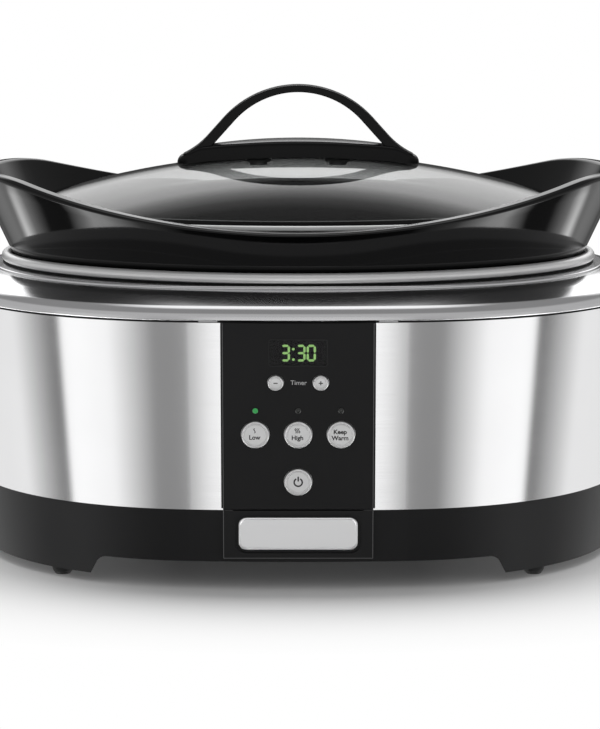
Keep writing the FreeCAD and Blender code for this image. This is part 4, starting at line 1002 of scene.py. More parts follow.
@dataclass(frozen=True)
class Housing:
    """Steel band, polished shoulder, trim bead on a dark ring of painted shade, a black sheet of painted
    shade in the gap, and end clips.
    """

    plan: OvalPlan = OvalPlan()
    # Band
    band_foot: float = 0.043
    band_head: float = 0.1424
    band_sheet: float = 0.0008
    band_gap_half_width: float = 0.0338
    band_row: float = 0.02
    # Shoulder
    shoulder_foot: float = 0.1436
    shoulder_top: float = 0.1587
    shoulder_sheet: float = 0.001
    shoulder_outer: float = 0.1465
    shoulder_inner: float = 0.0965
    crown_width: float = 0.022
    crown_radius: float = 0.026
    crown_slope: float = 26.0
    edge_radius: float = 0.006
    # Opening, bead, and the dark ring of painted shade under the bead
    tuck_foot: float = 0.137
    tuck_gap: float = 0.0011
    # Opening, bead and gasket
    well_hole: Point = (0.1552, 0.1147)
    bead_line: Point = (0.1618, 0.1213)
    bead_radius: float = 0.0029
    bead_tuck: float = 60.0
    shade_ring_half_width: float = 0.0021
    shade_ring_height: float = 0.0008
    # Shoulder's ridge and edges
    ridge_drop: float = 0.0013
    ridge_radius: float = 0.0009
    ridge_lean: float = 0.0002
    ridge_root: float = 0.0001
    lip_run: float = 0.0002
    lip_radius: float = 0.0005
    tuck_radius: float = 0.0006
    # Black sheet of painted shade in the gap, and clips
    shade_sheet_thickness: float = 0.0002
    shade_sheet_clearance: float = 0.00002
    shade_sheet_overlap: float = 0.0005
    shade_sheet_head_gap: float = 0.0001
    shade_sheet_row: float = 0.001
    clip_size: Size = (0.0098, 0.0012, 0.0008)
    clip_rounding: float = 0.0002
    clip_across: float = 0.0462
    clip_sink: float = 0.0008
    clip_height: float = 0.143

    def build(self) -> None:
        """Build and dress every piece of the housing."""
        settle(self.band(), "base", "stainless_band", nodes=["steel_band"])
        settle(self.shoulder(), "base", "chrome_shoulder", nodes=["shoulder_ring"])
        settle(self.bead(), "base", "satin_bead", nodes=["rim_bead"])
        # A near-black ring under the bead paints its contact shadow.
        settle(self.bead_shade_ring(), "base", "rubber", SHADE_RING_BLACK)
        # The black sheet in the gap under the shoulder is painted shade.
        settle(self.gap_shade_sheet(), "base", "rubber")
        for side in (-1, 1):
            settle(self.clip(side), "base", "zinc_steel")

    def band(self) -> bpy.types.Object:
        """Side band, open at the front behind the panel.

        Returns:
            The band, in its place.
        """
        foot = self.plan.wall_radius(self.band_foot)
        middle = self.plan.front_offset + foot
        gap = math.asin(self.band_gap_half_width / middle)
        head = self.plan.wall_radius(self.band_head)
        profile = divide([(foot, self.band_foot), (head, self.band_head)], self.band_row)
        piece = self.plan.spin("band_sheet", profile, gap)
        apply_modifier(piece, "SOLIDIFY", thickness=self.band_sheet, offset=-1.0)
        smooth(piece, sharp=30.0)
        return piece

    def shoulder(self) -> bpy.types.Object:
        """Polished shoulder: seat with a stepped ridge, sloping crown, tight edge, tuck behind the band.

        Returns:
            The shoulder, in its place.
        """
        slope = math.radians(self.crown_slope)
        edge = self.edge_radius
        crown_start = self.shoulder_outer - self.crown_width
        crown_top = self.shoulder_top - self.ridge_drop
        crown_centre = (crown_start, crown_top - self.crown_radius)
        run = self.crown_width - self.crown_radius * math.sin(slope) - edge * (1 - math.sin(slope))
        drop = self.crown_radius * (1 - math.cos(slope)) + run * math.tan(slope)
        edge_centre = (self.shoulder_outer - edge, crown_top - drop - edge * math.cos(slope))
        tuck = self.plan.top_radius - self.tuck_gap
        tuck_low = self.plan.wall_radius(self.tuck_foot) - self.tuck_gap
        profile = soften([
            (self.shoulder_inner, self.shoulder_top, 0),
            (crown_start - 2 * self.ridge_lean, self.shoulder_top, self.ridge_radius),
            (crown_start - self.ridge_lean, crown_top, self.ridge_root),
            (crown_start, crown_top, 0),
        ])
        profile += arc(crown_centre, self.crown_radius, 90, 90 - self.crown_slope, steps=14)[1:]
        profile += arc(edge_centre, edge, 90 - self.crown_slope, 0, steps=12)[1:]
        profile += soften([
            (self.shoulder_outer, edge_centre[1] - self.lip_run, 0),
            (self.shoulder_outer, self.shoulder_foot, self.lip_radius),
            (tuck, self.shoulder_foot, self.tuck_radius),
            (tuck_low, self.tuck_foot, 0),
        ])
        piece = self.plan.spin("shoulder_pressing", profile)
        apply_modifier(piece, "SOLIDIFY", thickness=self.shoulder_sheet, offset=-1.0)
        reach = 4 * self.shoulder_sheet
        hole = [(0, self.shoulder_top - reach), (0, self.shoulder_top + reach)]
        cut_away(piece, raise_rings("well_hole", rings_about(self.well_hole, hole), segments=160))
        smooth(piece, sharp=35.0)
        return piece

    def gap_shade_sheet(self) -> bpy.types.Object:
        """Black sheet in the gap between the band and the shoulder, painted shade where the gap is dark.

        Returns:
            The sheet, in its place.
        """
        line = self.plan.top_radius - self.tuck_gap + self.shade_sheet_thickness + self.shade_sheet_clearance
        low = self.plan.top_height - self.shade_sheet_overlap
        high = self.shoulder_foot - self.shade_sheet_head_gap
        piece = self.plan.spin("gap_shade_sheet", divide([(line, low), (line, high)], self.shade_sheet_row))
        apply_modifier(piece, "SOLIDIFY", thickness=self.shade_sheet_thickness, offset=-1.0)
        smooth(piece, sharp=30.0)
        return piece

    def clip(self, side: int) -> bpy.types.Object:
        """Small clip in the gap beside the panel.

        Args:
            side: 1 for the right, -1 for the left.

        Returns:
            The clip, in its place.
        """
        name = "clip_right" if side > 0 else "clip_left"
        piece = block(name, self.clip_size, self.clip_rounding, segments=3)
        radius = self.plan.top_radius - self.clip_sink
        turn = side * math.asin(self.clip_across / self.plan.front_reach(radius))
        place = self.plan.front_place(radius, turn, self.clip_height)
        set_down(piece, Matrix.Translation(place) @ Matrix.Rotation(turn, 4, "Z"))
        return piece

    def bead(self) -> bpy.types.Object:
        """Round trim bead about the opening, tucked in where it meets the dark ring of painted shade under
        it.

        Returns:
            The bead, in its place.
        """
        tuck = math.radians(self.bead_tuck)
        foot = self.shoulder_top + self.shade_ring_height
        middle = foot + self.bead_radius * math.sin(tuck)
        section = arc((0, middle), self.bead_radius, -self.bead_tuck, 180 + self.bead_tuck, steps=24)
        return self.trim_ring("trim_bead", section)

    def bead_shade_ring(self) -> bpy.types.Object:
        """Dark ring that the bead sits on, painted shade for the bead's contact shadow.

        Returns:
            The ring, in its place.
        """
        half = self.shade_ring_half_width
        foot = self.shoulder_top
        head = self.shoulder_top + self.shade_ring_height
        return self.trim_ring("bead_shade_ring", [(-half, foot), (half, foot), (half, head), (-half, head)])

    def trim_ring(self, name: str, section: Sequence[Point]) -> bpy.types.Object:
        """Carry a closed section round the opening.

        Args:
            name: The new piece's name.
            section: Points of distance out from the bead's line, and height.

        Returns:
            The ring, in its place.
        """
        rings = rings_about(self.bead_line, [*section, section[0]])
        piece = raise_rings(name, rings, segments=192, closed_ends=False)
        smooth(piece)
        return piece


@dataclass(frozen=True)
class PanelFrame:
    """The panel's frame, which leans back: across, up the panel, and out of its face."""

    foot: float = 0.0434
    front: float = 0.137847
    lean: float = 6.0

    def at(self, across: float, up: float, proud: float = 0.0) -> Matrix:
        """Place of a point in this frame, turned so that a flat drawing faces forward.

        Args:
            across: Distance to the right of the panel's middle.
            up: Distance up the panel from its foot.
            proud: Distance out of its face.

        Returns:
            The place.
        """
        origin = Matrix.Translation((0, -self.front, self.foot))
        turn = Matrix.Rotation(math.radians(90 + self.lean), 4, "X")
        return origin @ turn @ Matrix.Translation((across, up, proud))


class Key(Enum):
    """The six push buttons."""

    MINUS = "minus"
    PLUS = "plus"
    LOW = "low"
    HIGH = "high"
    WARM = "warm"
    POWER = "power"


class Segment(Enum):
    """The bars of a seven-segment digit: half widths across, quarter heights up, and turn."""

    TOP = (0, 2, 0)
    TOP_RIGHT = (1, 1, 90)
    LOW_RIGHT = (1, -1, 90)
    FOOT = (0, -2, 0)
    LOW_LEFT = (-1, -1, 90)
    TOP_LEFT = (-1, 1, 90)
    MIDDLE = (0, 0, 0)


@dataclass(frozen=True)
class ControlPanel:
    """Buttons, legends, lamps, digits, window gasket, badge, and the strips of painted shade and painted
    highlight along the control panel's edges.
    """

    frame: PanelFrame = PanelFrame()
    height: float = 0.0998
    half_width: float = 0.039
    facet_drop: float = 0.02644
    # Strips of painted shade beside the panel, and strips of painted highlight along its edges
    shade_strip_width: float = 0.0009
    shade_strip_depth: float = 0.0018
    shade_strip_sink: float = 0.0009
    shade_strip_end_gap: float = 0.0012
    edge_width: float = 0.0004
    edge_sink_share: float = 0.35
    strip_rounding_share: float = 0.22
    # Buttons
    adjust_pitch: float = 0.0232
    adjust_up: float = 0.0682
    mode_pitch: float = 0.0221
    mode_up: float = 0.0406
    power_up: float = 0.0152
    adjust_radius: float = 0.004
    mode_radius: float = 0.00715
    button_proud: float = 0.001
    rim_share: float = 0.14
    face_sink: float = 0.0002
    face_hub: float = 0.0004
    front_rounding: float = 0.0005
    rim_rounding: float = 0.0001
    groove_rounding: float = 0.00005
    flange: float = 0.0012
    flange_front: float = 0.0021
    flange_back: float = 0.0031
    flange_rounding: float = 0.0002
    stem_radius: float = 0.0018
    stem_depth: float = 0.0071
    # Prints
    ink: float = 0.00004
    stroke: float = 0.0005
    bar_rounding_share: float = 0.45
    sign: float = 0.0022
    letter: float = 0.0033
    letter_weight: float = 0.03
    word_across: float = -0.0004
    low_word_up: float = -0.0014
    high_word_up: float = -0.0016
    warm_across: float = -0.0005
    keep_word_up: float = 0.0016
    warm_word_up: float = -0.0017
    steam_up: float = 0.0023
    steam_pitch: float = 0.0009
    steam_rise: float = 0.0026
    steam_sway: float = 0.00032
    steam_steps: int = 16
    power_inner: float = 0.0017
    power_outer: float = 0.0025
    power_gap: float = math.radians(28)
    power_stroke: float = 0.0027
    power_stroke_up: float = 0.0018
    timer_letter: float = 0.0034
    timer_weight: float = 0.008
    timer_across: float = 0.0002
    # Lamps
    lamp_up: float = 0.0534
    lamp_radius: float = 0.0015
    lamp_depth: float = 0.001
    lamp_step: float = 0.0001
    lamp_dome: float = 0.0006
    # Window and digits
    window_up: float = 0.084
    window_size: Point = (0.03, 0.0138)
    window_corner: float = 0.0014
    gasket: float = 0.0005
    gasket_sink_share: float = 0.3
    digit_places: Size = (-0.0066, 0.0014, 0.0067)
    digit_width: float = 0.0036
    digit_height: float = 0.0077
    digit_bar: float = 0.0012
    digit_gap: float = 0.0004
    digit_point_share: float = 0.44
    digit_sheet: float = 0.00012
    digit_depth: float = 0.0031
    digit_drop: float = 0.0008
    colon_across: float = -0.0025
    colon_ups: Point = (0.0021, -0.0034)
    colon_share: float = 1.15
    # Badge
    badge_half_width: float = 0.0309
    badge_height: float = 0.0175
    badge_up: float = -0.0128
    badge_corner: float = 0.0041
    badge_thickness: float = 0.0014
    badge_proud: float = 0.0004
    badge_border: float = 0.0009
    badge_step: float = 0.00025
    badge_rounding: float = 0.00022

    def build(self) -> None:
        """Build and dress every piece of the panel."""
        self.build_buttons()
        settle(self.timer_legend(), "base", "panel_plastic", PALE_INK)
        for side, name in ((-1, "low"), (0, "high"), (1, "warm")):
            lamp = self.lamp(name, side * self.mode_pitch)
            settle(lamp, "base", "lamp_lens", LIT_LAMP if name == "low" else UNLIT_LAMP)
        settle(self.digits(), "base", "display_module", LIT_SEGMENT)
        settle(self.window_gasket(), "base", "rubber")
        settle(self.badge(), "base", "badge_metal", nodes=["badge_plate"])
        self.build_strips()

    def build_buttons(self) -> None:
        """Build and dress the six buttons and what is printed on them."""
        for key, cap in self.caps().items():
            body = f"button_{key.value}"
            across, up, _ = self.place_of(key)
            set_down(cap, self.frame.at(across, up))
            settle(cap, body, "silver_button", nodes=[body])
            settle(self.legend(key), body, "silver_button", DARK_INK)

    def build_strips(self) -> None:
        """Build and dress the dark strips of painted shade beside the panel and the pale strips of painted
        highlight along its edges.
        """
        shade_strip_size = (self.shade_strip_width, self.height - self.shade_strip_end_gap, self.shade_strip_depth)
        shade_strip_across = self.half_width + self.shade_strip_width / 2
        shade_strip_proud = -self.shade_strip_sink - self.shade_strip_depth / 2
        edge_length = self.height + self.facet_drop - self.edge_width
        edge_across = self.half_width - self.edge_width / 2
        edge_up = (self.height - self.facet_drop) / 2
        edge_proud = -self.edge_width * self.edge_sink_share
        for side, name in ((-1, "left"), (1, "right")):
            # Dark strips sunk beside the panel are painted shade in the gap there.
            shade_strip = self.strip(f"panel_seal_{name}", shade_strip_size)
            set_down(shade_strip, self.frame.at(side * shade_strip_across, self.height / 2, shade_strip_proud))
            settle(shade_strip, "base", "rubber")
            # Pale strips along the panel's sides are painted highlights.
            edge = self.strip(f"panel_edge_{name}", (self.edge_width, edge_length, self.edge_width))
            set_down(edge, self.frame.at(side * edge_across, edge_up, edge_proud))
            settle(edge, "base", "panel_plastic", EDGE_HIGHLIGHT)
        # The pale strip along the panel's foot is a painted highlight too.
        edge = self.strip("panel_edge_foot", (2 * edge_across, self.edge_width, self.edge_width))
        set_down(edge, self.frame.at(0, self.edge_width / 2 - self.facet_drop, edge_proud))
        settle(edge, "base", "panel_plastic", EDGE_HIGHLIGHT)

    def strip(self, name: str, size: Size) -> bpy.types.Object:
        """A straight strip with rounded edges, about the origin."""
        return block(name, size, min(size) * self.strip_rounding_share, segments=2)

    def place_of(self, key: Key) -> tuple[float, float, float]:
        """Where a button stands.

        Args:
            key: The button.

        Returns:
            Its place across and up the panel, and its radius.
        """
        places = {
            Key.MINUS: (-self.adjust_pitch / 2, self.adjust_up, self.adjust_radius),
            Key.PLUS: (self.adjust_pitch / 2, self.adjust_up, self.adjust_radius),
            Key.LOW: (-self.mode_pitch, self.mode_up, self.mode_radius),
            Key.HIGH: (0.0, self.mode_up, self.mode_radius),
            Key.WARM: (self.mode_pitch, self.mode_up, self.mode_radius),
            Key.POWER: (0.0, self.power_up, self.mode_radius),
        }
        return places[key]

    def caps(self) -> dict[Key, bpy.types.Object]:
        """The six buttons: one of each size is modelled, and the others are its copies.

        Returns:
            The buttons, about the origin of the panel's frame.
        """
        made: dict[Key, bpy.types.Object] = {}
        for key in Key:
            name = f"cap_{key.value}"
            radius = self.place_of(key)[2]
            twin = next((other for other in made if self.place_of(other)[2] == radius), None)
            made[key] = copy_of(made[twin], name) if twin else self.cap(name, radius)
        return made

    def cap(self, name: str, radius: float) -> bpy.types.Object:
        """A button with a raised rim, a flange behind the panel and a stem.

        Args:
            name: The new piece's name.
            radius: The radius of its front.

        Returns:
            The button, about the origin of the panel's frame.
        """
        front = self.button_proud
        face = front - self.face_sink
        bottom = front - 2 * self.face_sink
        rim = radius * (1 - self.rim_share)
        groove = rim - 3 * self.face_sink
        profile = soften([
            (self.stem_radius, -self.stem_depth, 0),
            (self.stem_radius, -self.flange_back, 0),
            (radius + self.flange, -self.flange_back, self.flange_rounding),
            (radius + self.flange, -self.flange_front, self.flange_rounding),
            (radius, -self.flange_front, 0),
            (radius, front, self.front_rounding),
            (rim, front, self.rim_rounding),
            (rim - self.face_sink, bottom, self.groove_rounding),
            (groove, bottom, self.groove_rounding),
            (groove - self.face_sink, face, self.rim_rounding),
            (self.face_hub, face, 0),
        ])
        piece = raise_rings(name, rings_about(AXIS, profile), segments=56)
        smooth(piece, sharp=45.0)
        return piece

    def legend(self, key: Key) -> bpy.types.Object:
        """A button's printed sign, laid on its face.

        Args:
            key: The button.

        Returns:
            The print, in its place.
        """
        name = f"legend_{key.value}"
        if key is Key.MINUS:
            parts = [self.bar("minus_bar", self.sign, self.stroke)]
        elif key is Key.PLUS:
            parts = [self.bar("plus_across", self.sign, self.stroke),
                     self.bar("plus_up", self.stroke, self.sign)]
        elif key is Key.LOW:
            parts = [self.word("Low", self.word_across, self.low_word_up), self.steam(self.word_across)]
        elif key is Key.HIGH:
            parts = [self.word("High", self.word_across, self.high_word_up)]
            parts += [self.steam(self.word_across + side * self.steam_pitch) for side in (-1, 0, 1)]
        elif key is Key.WARM:
            parts = [self.word("Keep", self.warm_across, self.keep_word_up),
                     self.word("Warm", self.warm_across, self.warm_word_up)]
        else:
            parts = self.power_sign()
        piece = join(name, parts)
        across, up, _ = self.place_of(key)
        self.thicken(piece)
        set_down(piece, self.frame.at(across, up, self.button_proud - self.face_sink + self.ink / 2))
        return piece

    def timer_legend(self) -> bpy.types.Object:
        """Pale word between the minus and plus buttons.

        Returns:
            The print, in its place.
        """
        piece = self.write("legend_timer", "Timer", self.timer_letter, self.timer_weight)
        self.thicken(piece)
        set_down(piece, self.frame.at(self.timer_across, self.adjust_up, self.ink / 2))
        return piece

    def thicken(self, piece: bpy.types.Object) -> None:
        """Give a flat print the thickness of its ink."""
        apply_modifier(piece, "SOLIDIFY", thickness=self.ink, offset=0.0)

    def word(self, words: str, across: float, up: float) -> bpy.types.Object:
        """Set a button's word.

        Args:
            words: What it says.
            across: Place of its middle.
            up: Place of its middle.

        Returns:
            The flat word.
        """
        piece = self.write("word", words, self.letter, self.letter_weight)
        set_down(piece, Matrix.Translation((across, up, 0)))
        return piece

    @staticmethod
    def write(name: str, words: str, size: float, weight: float) -> bpy.types.Object:
        """Set words as a flat mesh.

        Args:
            name: The new mesh's name.
            words: What they say.
            size: The size of their letters.
            weight: How much bolder their strokes are, as a share of the letters' size.

        Returns:
            The flat words, about the origin.
        """
        put_down_all()
        bpy.ops.object.text_add()
        text = named(name)
        text.data.body = words
        text.data.size = size
        text.data.align_x = "CENTER"
        text.data.align_y = "CENTER"
        text.data.resolution_u = 4
        text.data.offset = size * weight
        pick(text)
        bpy.ops.object.convert(target="MESH")
        return named(name)

    def bar(self, name: str, width: float, height: float) -> bpy.types.Object:
        """A flat bar with rounded ends, about the origin."""
        rounding = min(width, height) * self.bar_rounding_share
        return flat_plate(name, width, height, rounding, segments=4)

    def steam(self, across: float) -> bpy.types.Object:
        """A rising wisp of steam.

        Args:
            across: Place of its middle.

        Returns:
            The flat wisp.
        """
        points = []
        for step in range(self.steam_steps + 1):
            share = step / self.steam_steps
            left = across + self.steam_sway * math.sin(2 * math.pi * share) - self.stroke / 2
            points.append(Vector((left, self.steam_up + self.steam_rise * (share - 0.5), 0)))
        piece = draw_line("steam", points)
        with editing(piece, "EDGE"):
            bpy.ops.mesh.select_all(action="SELECT")
            bpy.ops.mesh.extrude_edges_move(TRANSFORM_OT_translate={"value": (self.stroke, 0, 0)})
        return piece

    def power_sign(self) -> list[bpy.types.Object]:
        """A ring open at its top, and an upright stroke in the gap.

        Returns:
            The two flat parts of the sign.
        """
        gap = self.power_gap
        ring = draw_line("power_ring", [Vector((radius * math.sin(gap), radius * math.cos(gap), 0))
                                        for radius in (self.power_inner, self.power_outer)])
        with editing(ring):
            bpy.ops.mesh.select_all(action="SELECT")
            bpy.ops.mesh.spin(steps=40, angle=2 * math.pi - 2 * gap, center=(0, 0, 0), axis=(0, 0, 1))
        stroke = self.bar("power_stroke", self.power_outer - self.power_inner, self.power_stroke)
        set_down(stroke, Matrix.Translation((0, self.power_stroke_up, 0)))
        return [ring, stroke]

    def lamp(self, name: str, across: float) -> bpy.types.Object:
        """A small domed lamp lens.

        Args:
            name: Which lamp.
            across: Its place across the panel.

        Returns:
            The lens, in its place.
        """
        radius = self.lamp_radius
        profile = [(radius, -self.lamp_depth), (radius, self.lamp_step)]
        for out, up in arc(AXIS, 1.0, 0, 80, steps=6):
            profile.append((radius * out, self.lamp_step + self.lamp_dome * up))
        piece = raise_rings(f"lamp_lens_{name}", rings_about(AXIS, profile), segments=28)
        smooth(piece, sharp=60.0)
        set_down(piece, self.frame.at(across, self.lamp_up))
        return piece

    def digits(self) -> bpy.types.Object:
        """The lit bars of the display, which reads 3:30.

        Returns:
            The bars, in their place behind the window.
        """
        three = [Segment.TOP, Segment.TOP_RIGHT, Segment.MIDDLE, Segment.LOW_RIGHT, Segment.FOOT]
        nought = [segment for segment in Segment if segment is not Segment.MIDDLE]
        bars = []
        for middle, lit in zip(self.digit_places, (three, three, nought)):
            bars += [self.digit_segment(middle, segment) for segment in lit]
        dot_size = self.digit_bar * self.colon_share
        for up in self.colon_ups:
            dot = self.bar("colon_dot", dot_size, dot_size)
            set_down(dot, Matrix.Translation((self.colon_across, up, 0)))
            bars.append(dot)
        piece = join("lit_digits", bars)
        apply_modifier(piece, "SOLIDIFY", thickness=self.digit_sheet, offset=1.0)
        set_down(piece, self.frame.at(0, self.window_up - self.digit_drop, -self.digit_depth))
        return piece

    def digit_segment(self, middle: float, segment: Segment) -> bpy.types.Object:
        """One lit bar of a digit.

        Args:
            middle: Place of the digit's middle.
            segment: Which bar.

        Returns:
            The flat bar with its pointed ends.
        """
        across, up, turn = segment.value
        length = self.digit_height / 2 if turn else self.digit_width
        point = self.digit_bar * self.digit_point_share
        piece = flat_plate("digit_bar", length - self.digit_gap, self.digit_bar, point, segments=1)
        shift = Matrix.Translation((middle + across * self.digit_width / 2, up * self.digit_height / 4, 0))
        set_down(piece, shift @ Matrix.Rotation(math.radians(turn), 4, "Z"))
        return piece

    def window_gasket(self) -> bpy.types.Object:
        """Thin black gasket round the window.

        Returns:
            The gasket, in its place.
        """
        width, height = (side + self.gasket for side in self.window_size)
        piece = flat_plate("window_gasket", width, height, self.window_corner, segments=6)
        with editing(piece, "FACE"):
            bpy.ops.mesh.select_all(action="SELECT")
            bpy.ops.mesh.inset(thickness=self.gasket)
            bpy.ops.mesh.delete(type="FACE")
        apply_modifier(piece, "SOLIDIFY", thickness=self.gasket, offset=0.0)
        smooth(piece, sharp=35.0)
        set_down(piece, self.frame.at(0, self.window_up, -self.gasket * self.gasket_sink_share))
        return piece

    def badge(self) -> bpy.types.Object:
        """Bare plate with a raised border, set in the recess under the panel.

        Returns:
            The plate, in its place.
        """
        put_down_all()
        bpy.ops.mesh.primitive_cube_add(size=1.0)
        piece = named("badge_blank")
        size = (2 * self.badge_half_width, self.badge_height, self.badge_thickness)
        with editing(piece, "EDGE"):
            bpy.ops.mesh.select_all(action="SELECT")
            bpy.ops.transform.resize(value=size)
            mesh = bmesh.from_edit_mesh(piece.data)
            for edge in mesh.edges:
                edge.select_set(abs(edge.verts[0].co.z - edge.verts[1].co.z) > self.badge_thickness / 2)
            bmesh.update_edit_mesh(piece.data)
            bpy.ops.mesh.bevel(offset=self.badge_corner, segments=10, affect="EDGES")
        with editing(piece, "FACE"):
            bpy.ops.mesh.select_all(action="DESELECT")
            mesh = bmesh.from_edit_mesh(piece.data)
            for face in mesh.faces:
                face.select_set(face.normal.z > FACING)
            bmesh.update_edit_mesh(piece.data)
            bpy.ops.mesh.inset(thickness=self.badge_border)
            bpy.ops.mesh.inset(thickness=self.badge_step, depth=-self.badge_step)
        apply_modifier(piece, "BEVEL", width=self.badge_rounding, segments=3, limit_method="ANGLE",
                       angle_limit=BEVEL_ANGLE)
        smooth(piece, sharp=35.0)
        set_down(piece, self.frame.at(0, self.badge_up, self.badge_proud - self.badge_thickness / 2))
        return piece


@dataclass(frozen=True)
class Crock:
    """Glazed stoneware crock whose rim rises at both ends."""

    # Collar
    collar_length: float = 0.157
    collar_depth: float = 0.1165
    collar_foot: float = 0.160
    collar_step: float = 0.0065
    collar_wall: float = 0.009
    flare: float = math.tan(math.radians(25))
    # Bowl
    foot: float = 0.032
    draft_inset: float = 0.018
    wall: float = 0.010
    floor: float = 0.010
    heel: float = 0.014
    ledge: float = 0.186
    # Rim
    rim_low: float = 0.1863
    dip_radius: float = 0.540
    dip_reach: float = 0.150
    crest_radius: float = 0.080
    # Roundings, and how finely the shape is worked out
    floor_reach: float = 0.03
    step_rounding: float = 0.0012
    collar_rounding: float = 0.0025
    rim_outer_rounding: float = 0.0024
    rim_inner_rounding: float = 0.0026
    recess_rounding: float = 0.0012
    ledge_rounding: float = 0.003
    lip_share: float = 0.75
    row: float = 0.006
    passes: int = 10
    halvings: int = 40

    @property
    def crest_turn(self) -> float:
        """Angle at which the dip of the rim ends."""
        return math.asin(self.dip_reach / self.dip_radius)

    @property
    def crest(self) -> float:
        """Height of the rim's raised ends."""
        return self.rim_low + (self.dip_radius + self.crest_radius) * (1 - math.cos(self.crest_turn))

    def rim_height(self, across: float) -> float:
        """Height of the rim at a distance to the side of the middle.

        Args:
            across: The distance, to either side.

        Returns:
            The height.
        """
        across = abs(across)
        crest_start = self.dip_reach + self.crest_radius * math.sin(self.crest_turn)
        if across <= self.dip_reach:
            return self.rim_low + self.dip_radius - math.sqrt(self.dip_radius ** 2 - across ** 2)
        if across < crest_start:
            return self.crest - self.crest_radius + math.sqrt(
                self.crest_radius ** 2 - (crest_start - across) ** 2)
        return self.crest

    def rim_over(self, turn: float) -> float:
        """Height at which the flared wall meets the rim, at an angle round the plan.

        Args:
            turn: The angle, from the right.

        Returns:
            The height.
        """
        height = self.rim_low
        for _ in range(self.passes):
            reach = self.collar_length + (height - self.collar_foot) * self.flare
            height = self.rim_height(reach * math.cos(turn))
        return height

    def section(self) -> list[Point]:
        """Outline of the wall with a level rim, from the foot, over the rim, to the floor of the bowl.

        Returns:
            Points of distance out from the collar's foot ellipse, and height.
        """
        lean = self.draft_inset / (self.collar_foot - self.foot)
        foot = -self.collar_step - self.draft_inset
        bowl_foot = foot - self.wall
        bowl_floor = self.foot + self.floor
        top = (self.crest - self.collar_foot) * self.flare
        recess = (self.ledge - self.collar_foot) * self.flare - self.collar_wall
        return soften([
            (foot - self.floor_reach, self.foot, 0),
            (foot, self.foot, self.heel),
            (-self.collar_step, self.collar_foot, self.step_rounding),
            (0, self.collar_foot, self.collar_rounding),
            (top, self.crest, self.rim_outer_rounding),
            (top - self.collar_wall, self.crest, self.rim_inner_rounding),
            (recess, self.ledge, self.recess_rounding),
            (bowl_foot + (self.ledge - bowl_floor) * lean, self.ledge, self.ledge_rounding),
            (bowl_foot, bowl_floor, self.heel),
            (bowl_foot - self.floor_reach, bowl_floor, 0),
        ], steps=6)

    def offset_of(self, spot: Vector) -> float:
        """How far outside the collar's foot ellipse a point lies.

        Args:
            spot: The point.

        Returns:
            The distance out.
        """
        low, high = -self.collar_depth, self.collar_depth
        for _ in range(self.halvings):
            middle = (low + high) / 2
            along = spot.x / (self.collar_length + middle)
            across = spot.y / (self.collar_depth + middle)
            low, high = (middle, high) if along ** 2 + across ** 2 > 1 else (low, middle)
        return low

    def dip(self, spot: Vector) -> Vector:
        """Lower a point of the collar to where the rim dips.

        Args:
            spot: Its place when the rim is level.

        Returns:
            Its place under the dipping rim.
        """
        if spot.z <= self.collar_foot + TOUCH:
            return spot
        offset = self.offset_of(spot)
        outside = (spot.z - self.collar_foot) * self.flare
        inside = offset < outside - self.collar_wall * self.lip_share
        start = self.ledge if inside else self.collar_foot
        if spot.z <= start + TOUCH:
            return spot
        turn = math.atan2(spot.y / (self.collar_depth + offset), spot.x / (self.collar_length + offset))
        fall = (self.crest - self.rim_over(turn)) * min(1.0, (spot.z - start) / (self.crest - start))
        offset -= fall * self.flare
        return Vector(((self.collar_length + offset) * math.cos(turn),
                       (self.collar_depth + offset) * math.sin(turn), spot.z - fall))

    def build(self) -> None:
        """Build and dress the crock."""
        rings = rings_about((self.collar_length, self.collar_depth), divide(self.section(), self.row))
        piece = raise_rings("crock_body", rings, segments=160)
        move_points(piece, self.dip)
        smooth(piece, sharp=50.0)
        settle(piece, "crock", "glazed_stoneware", nodes=["stoneware_crock"])


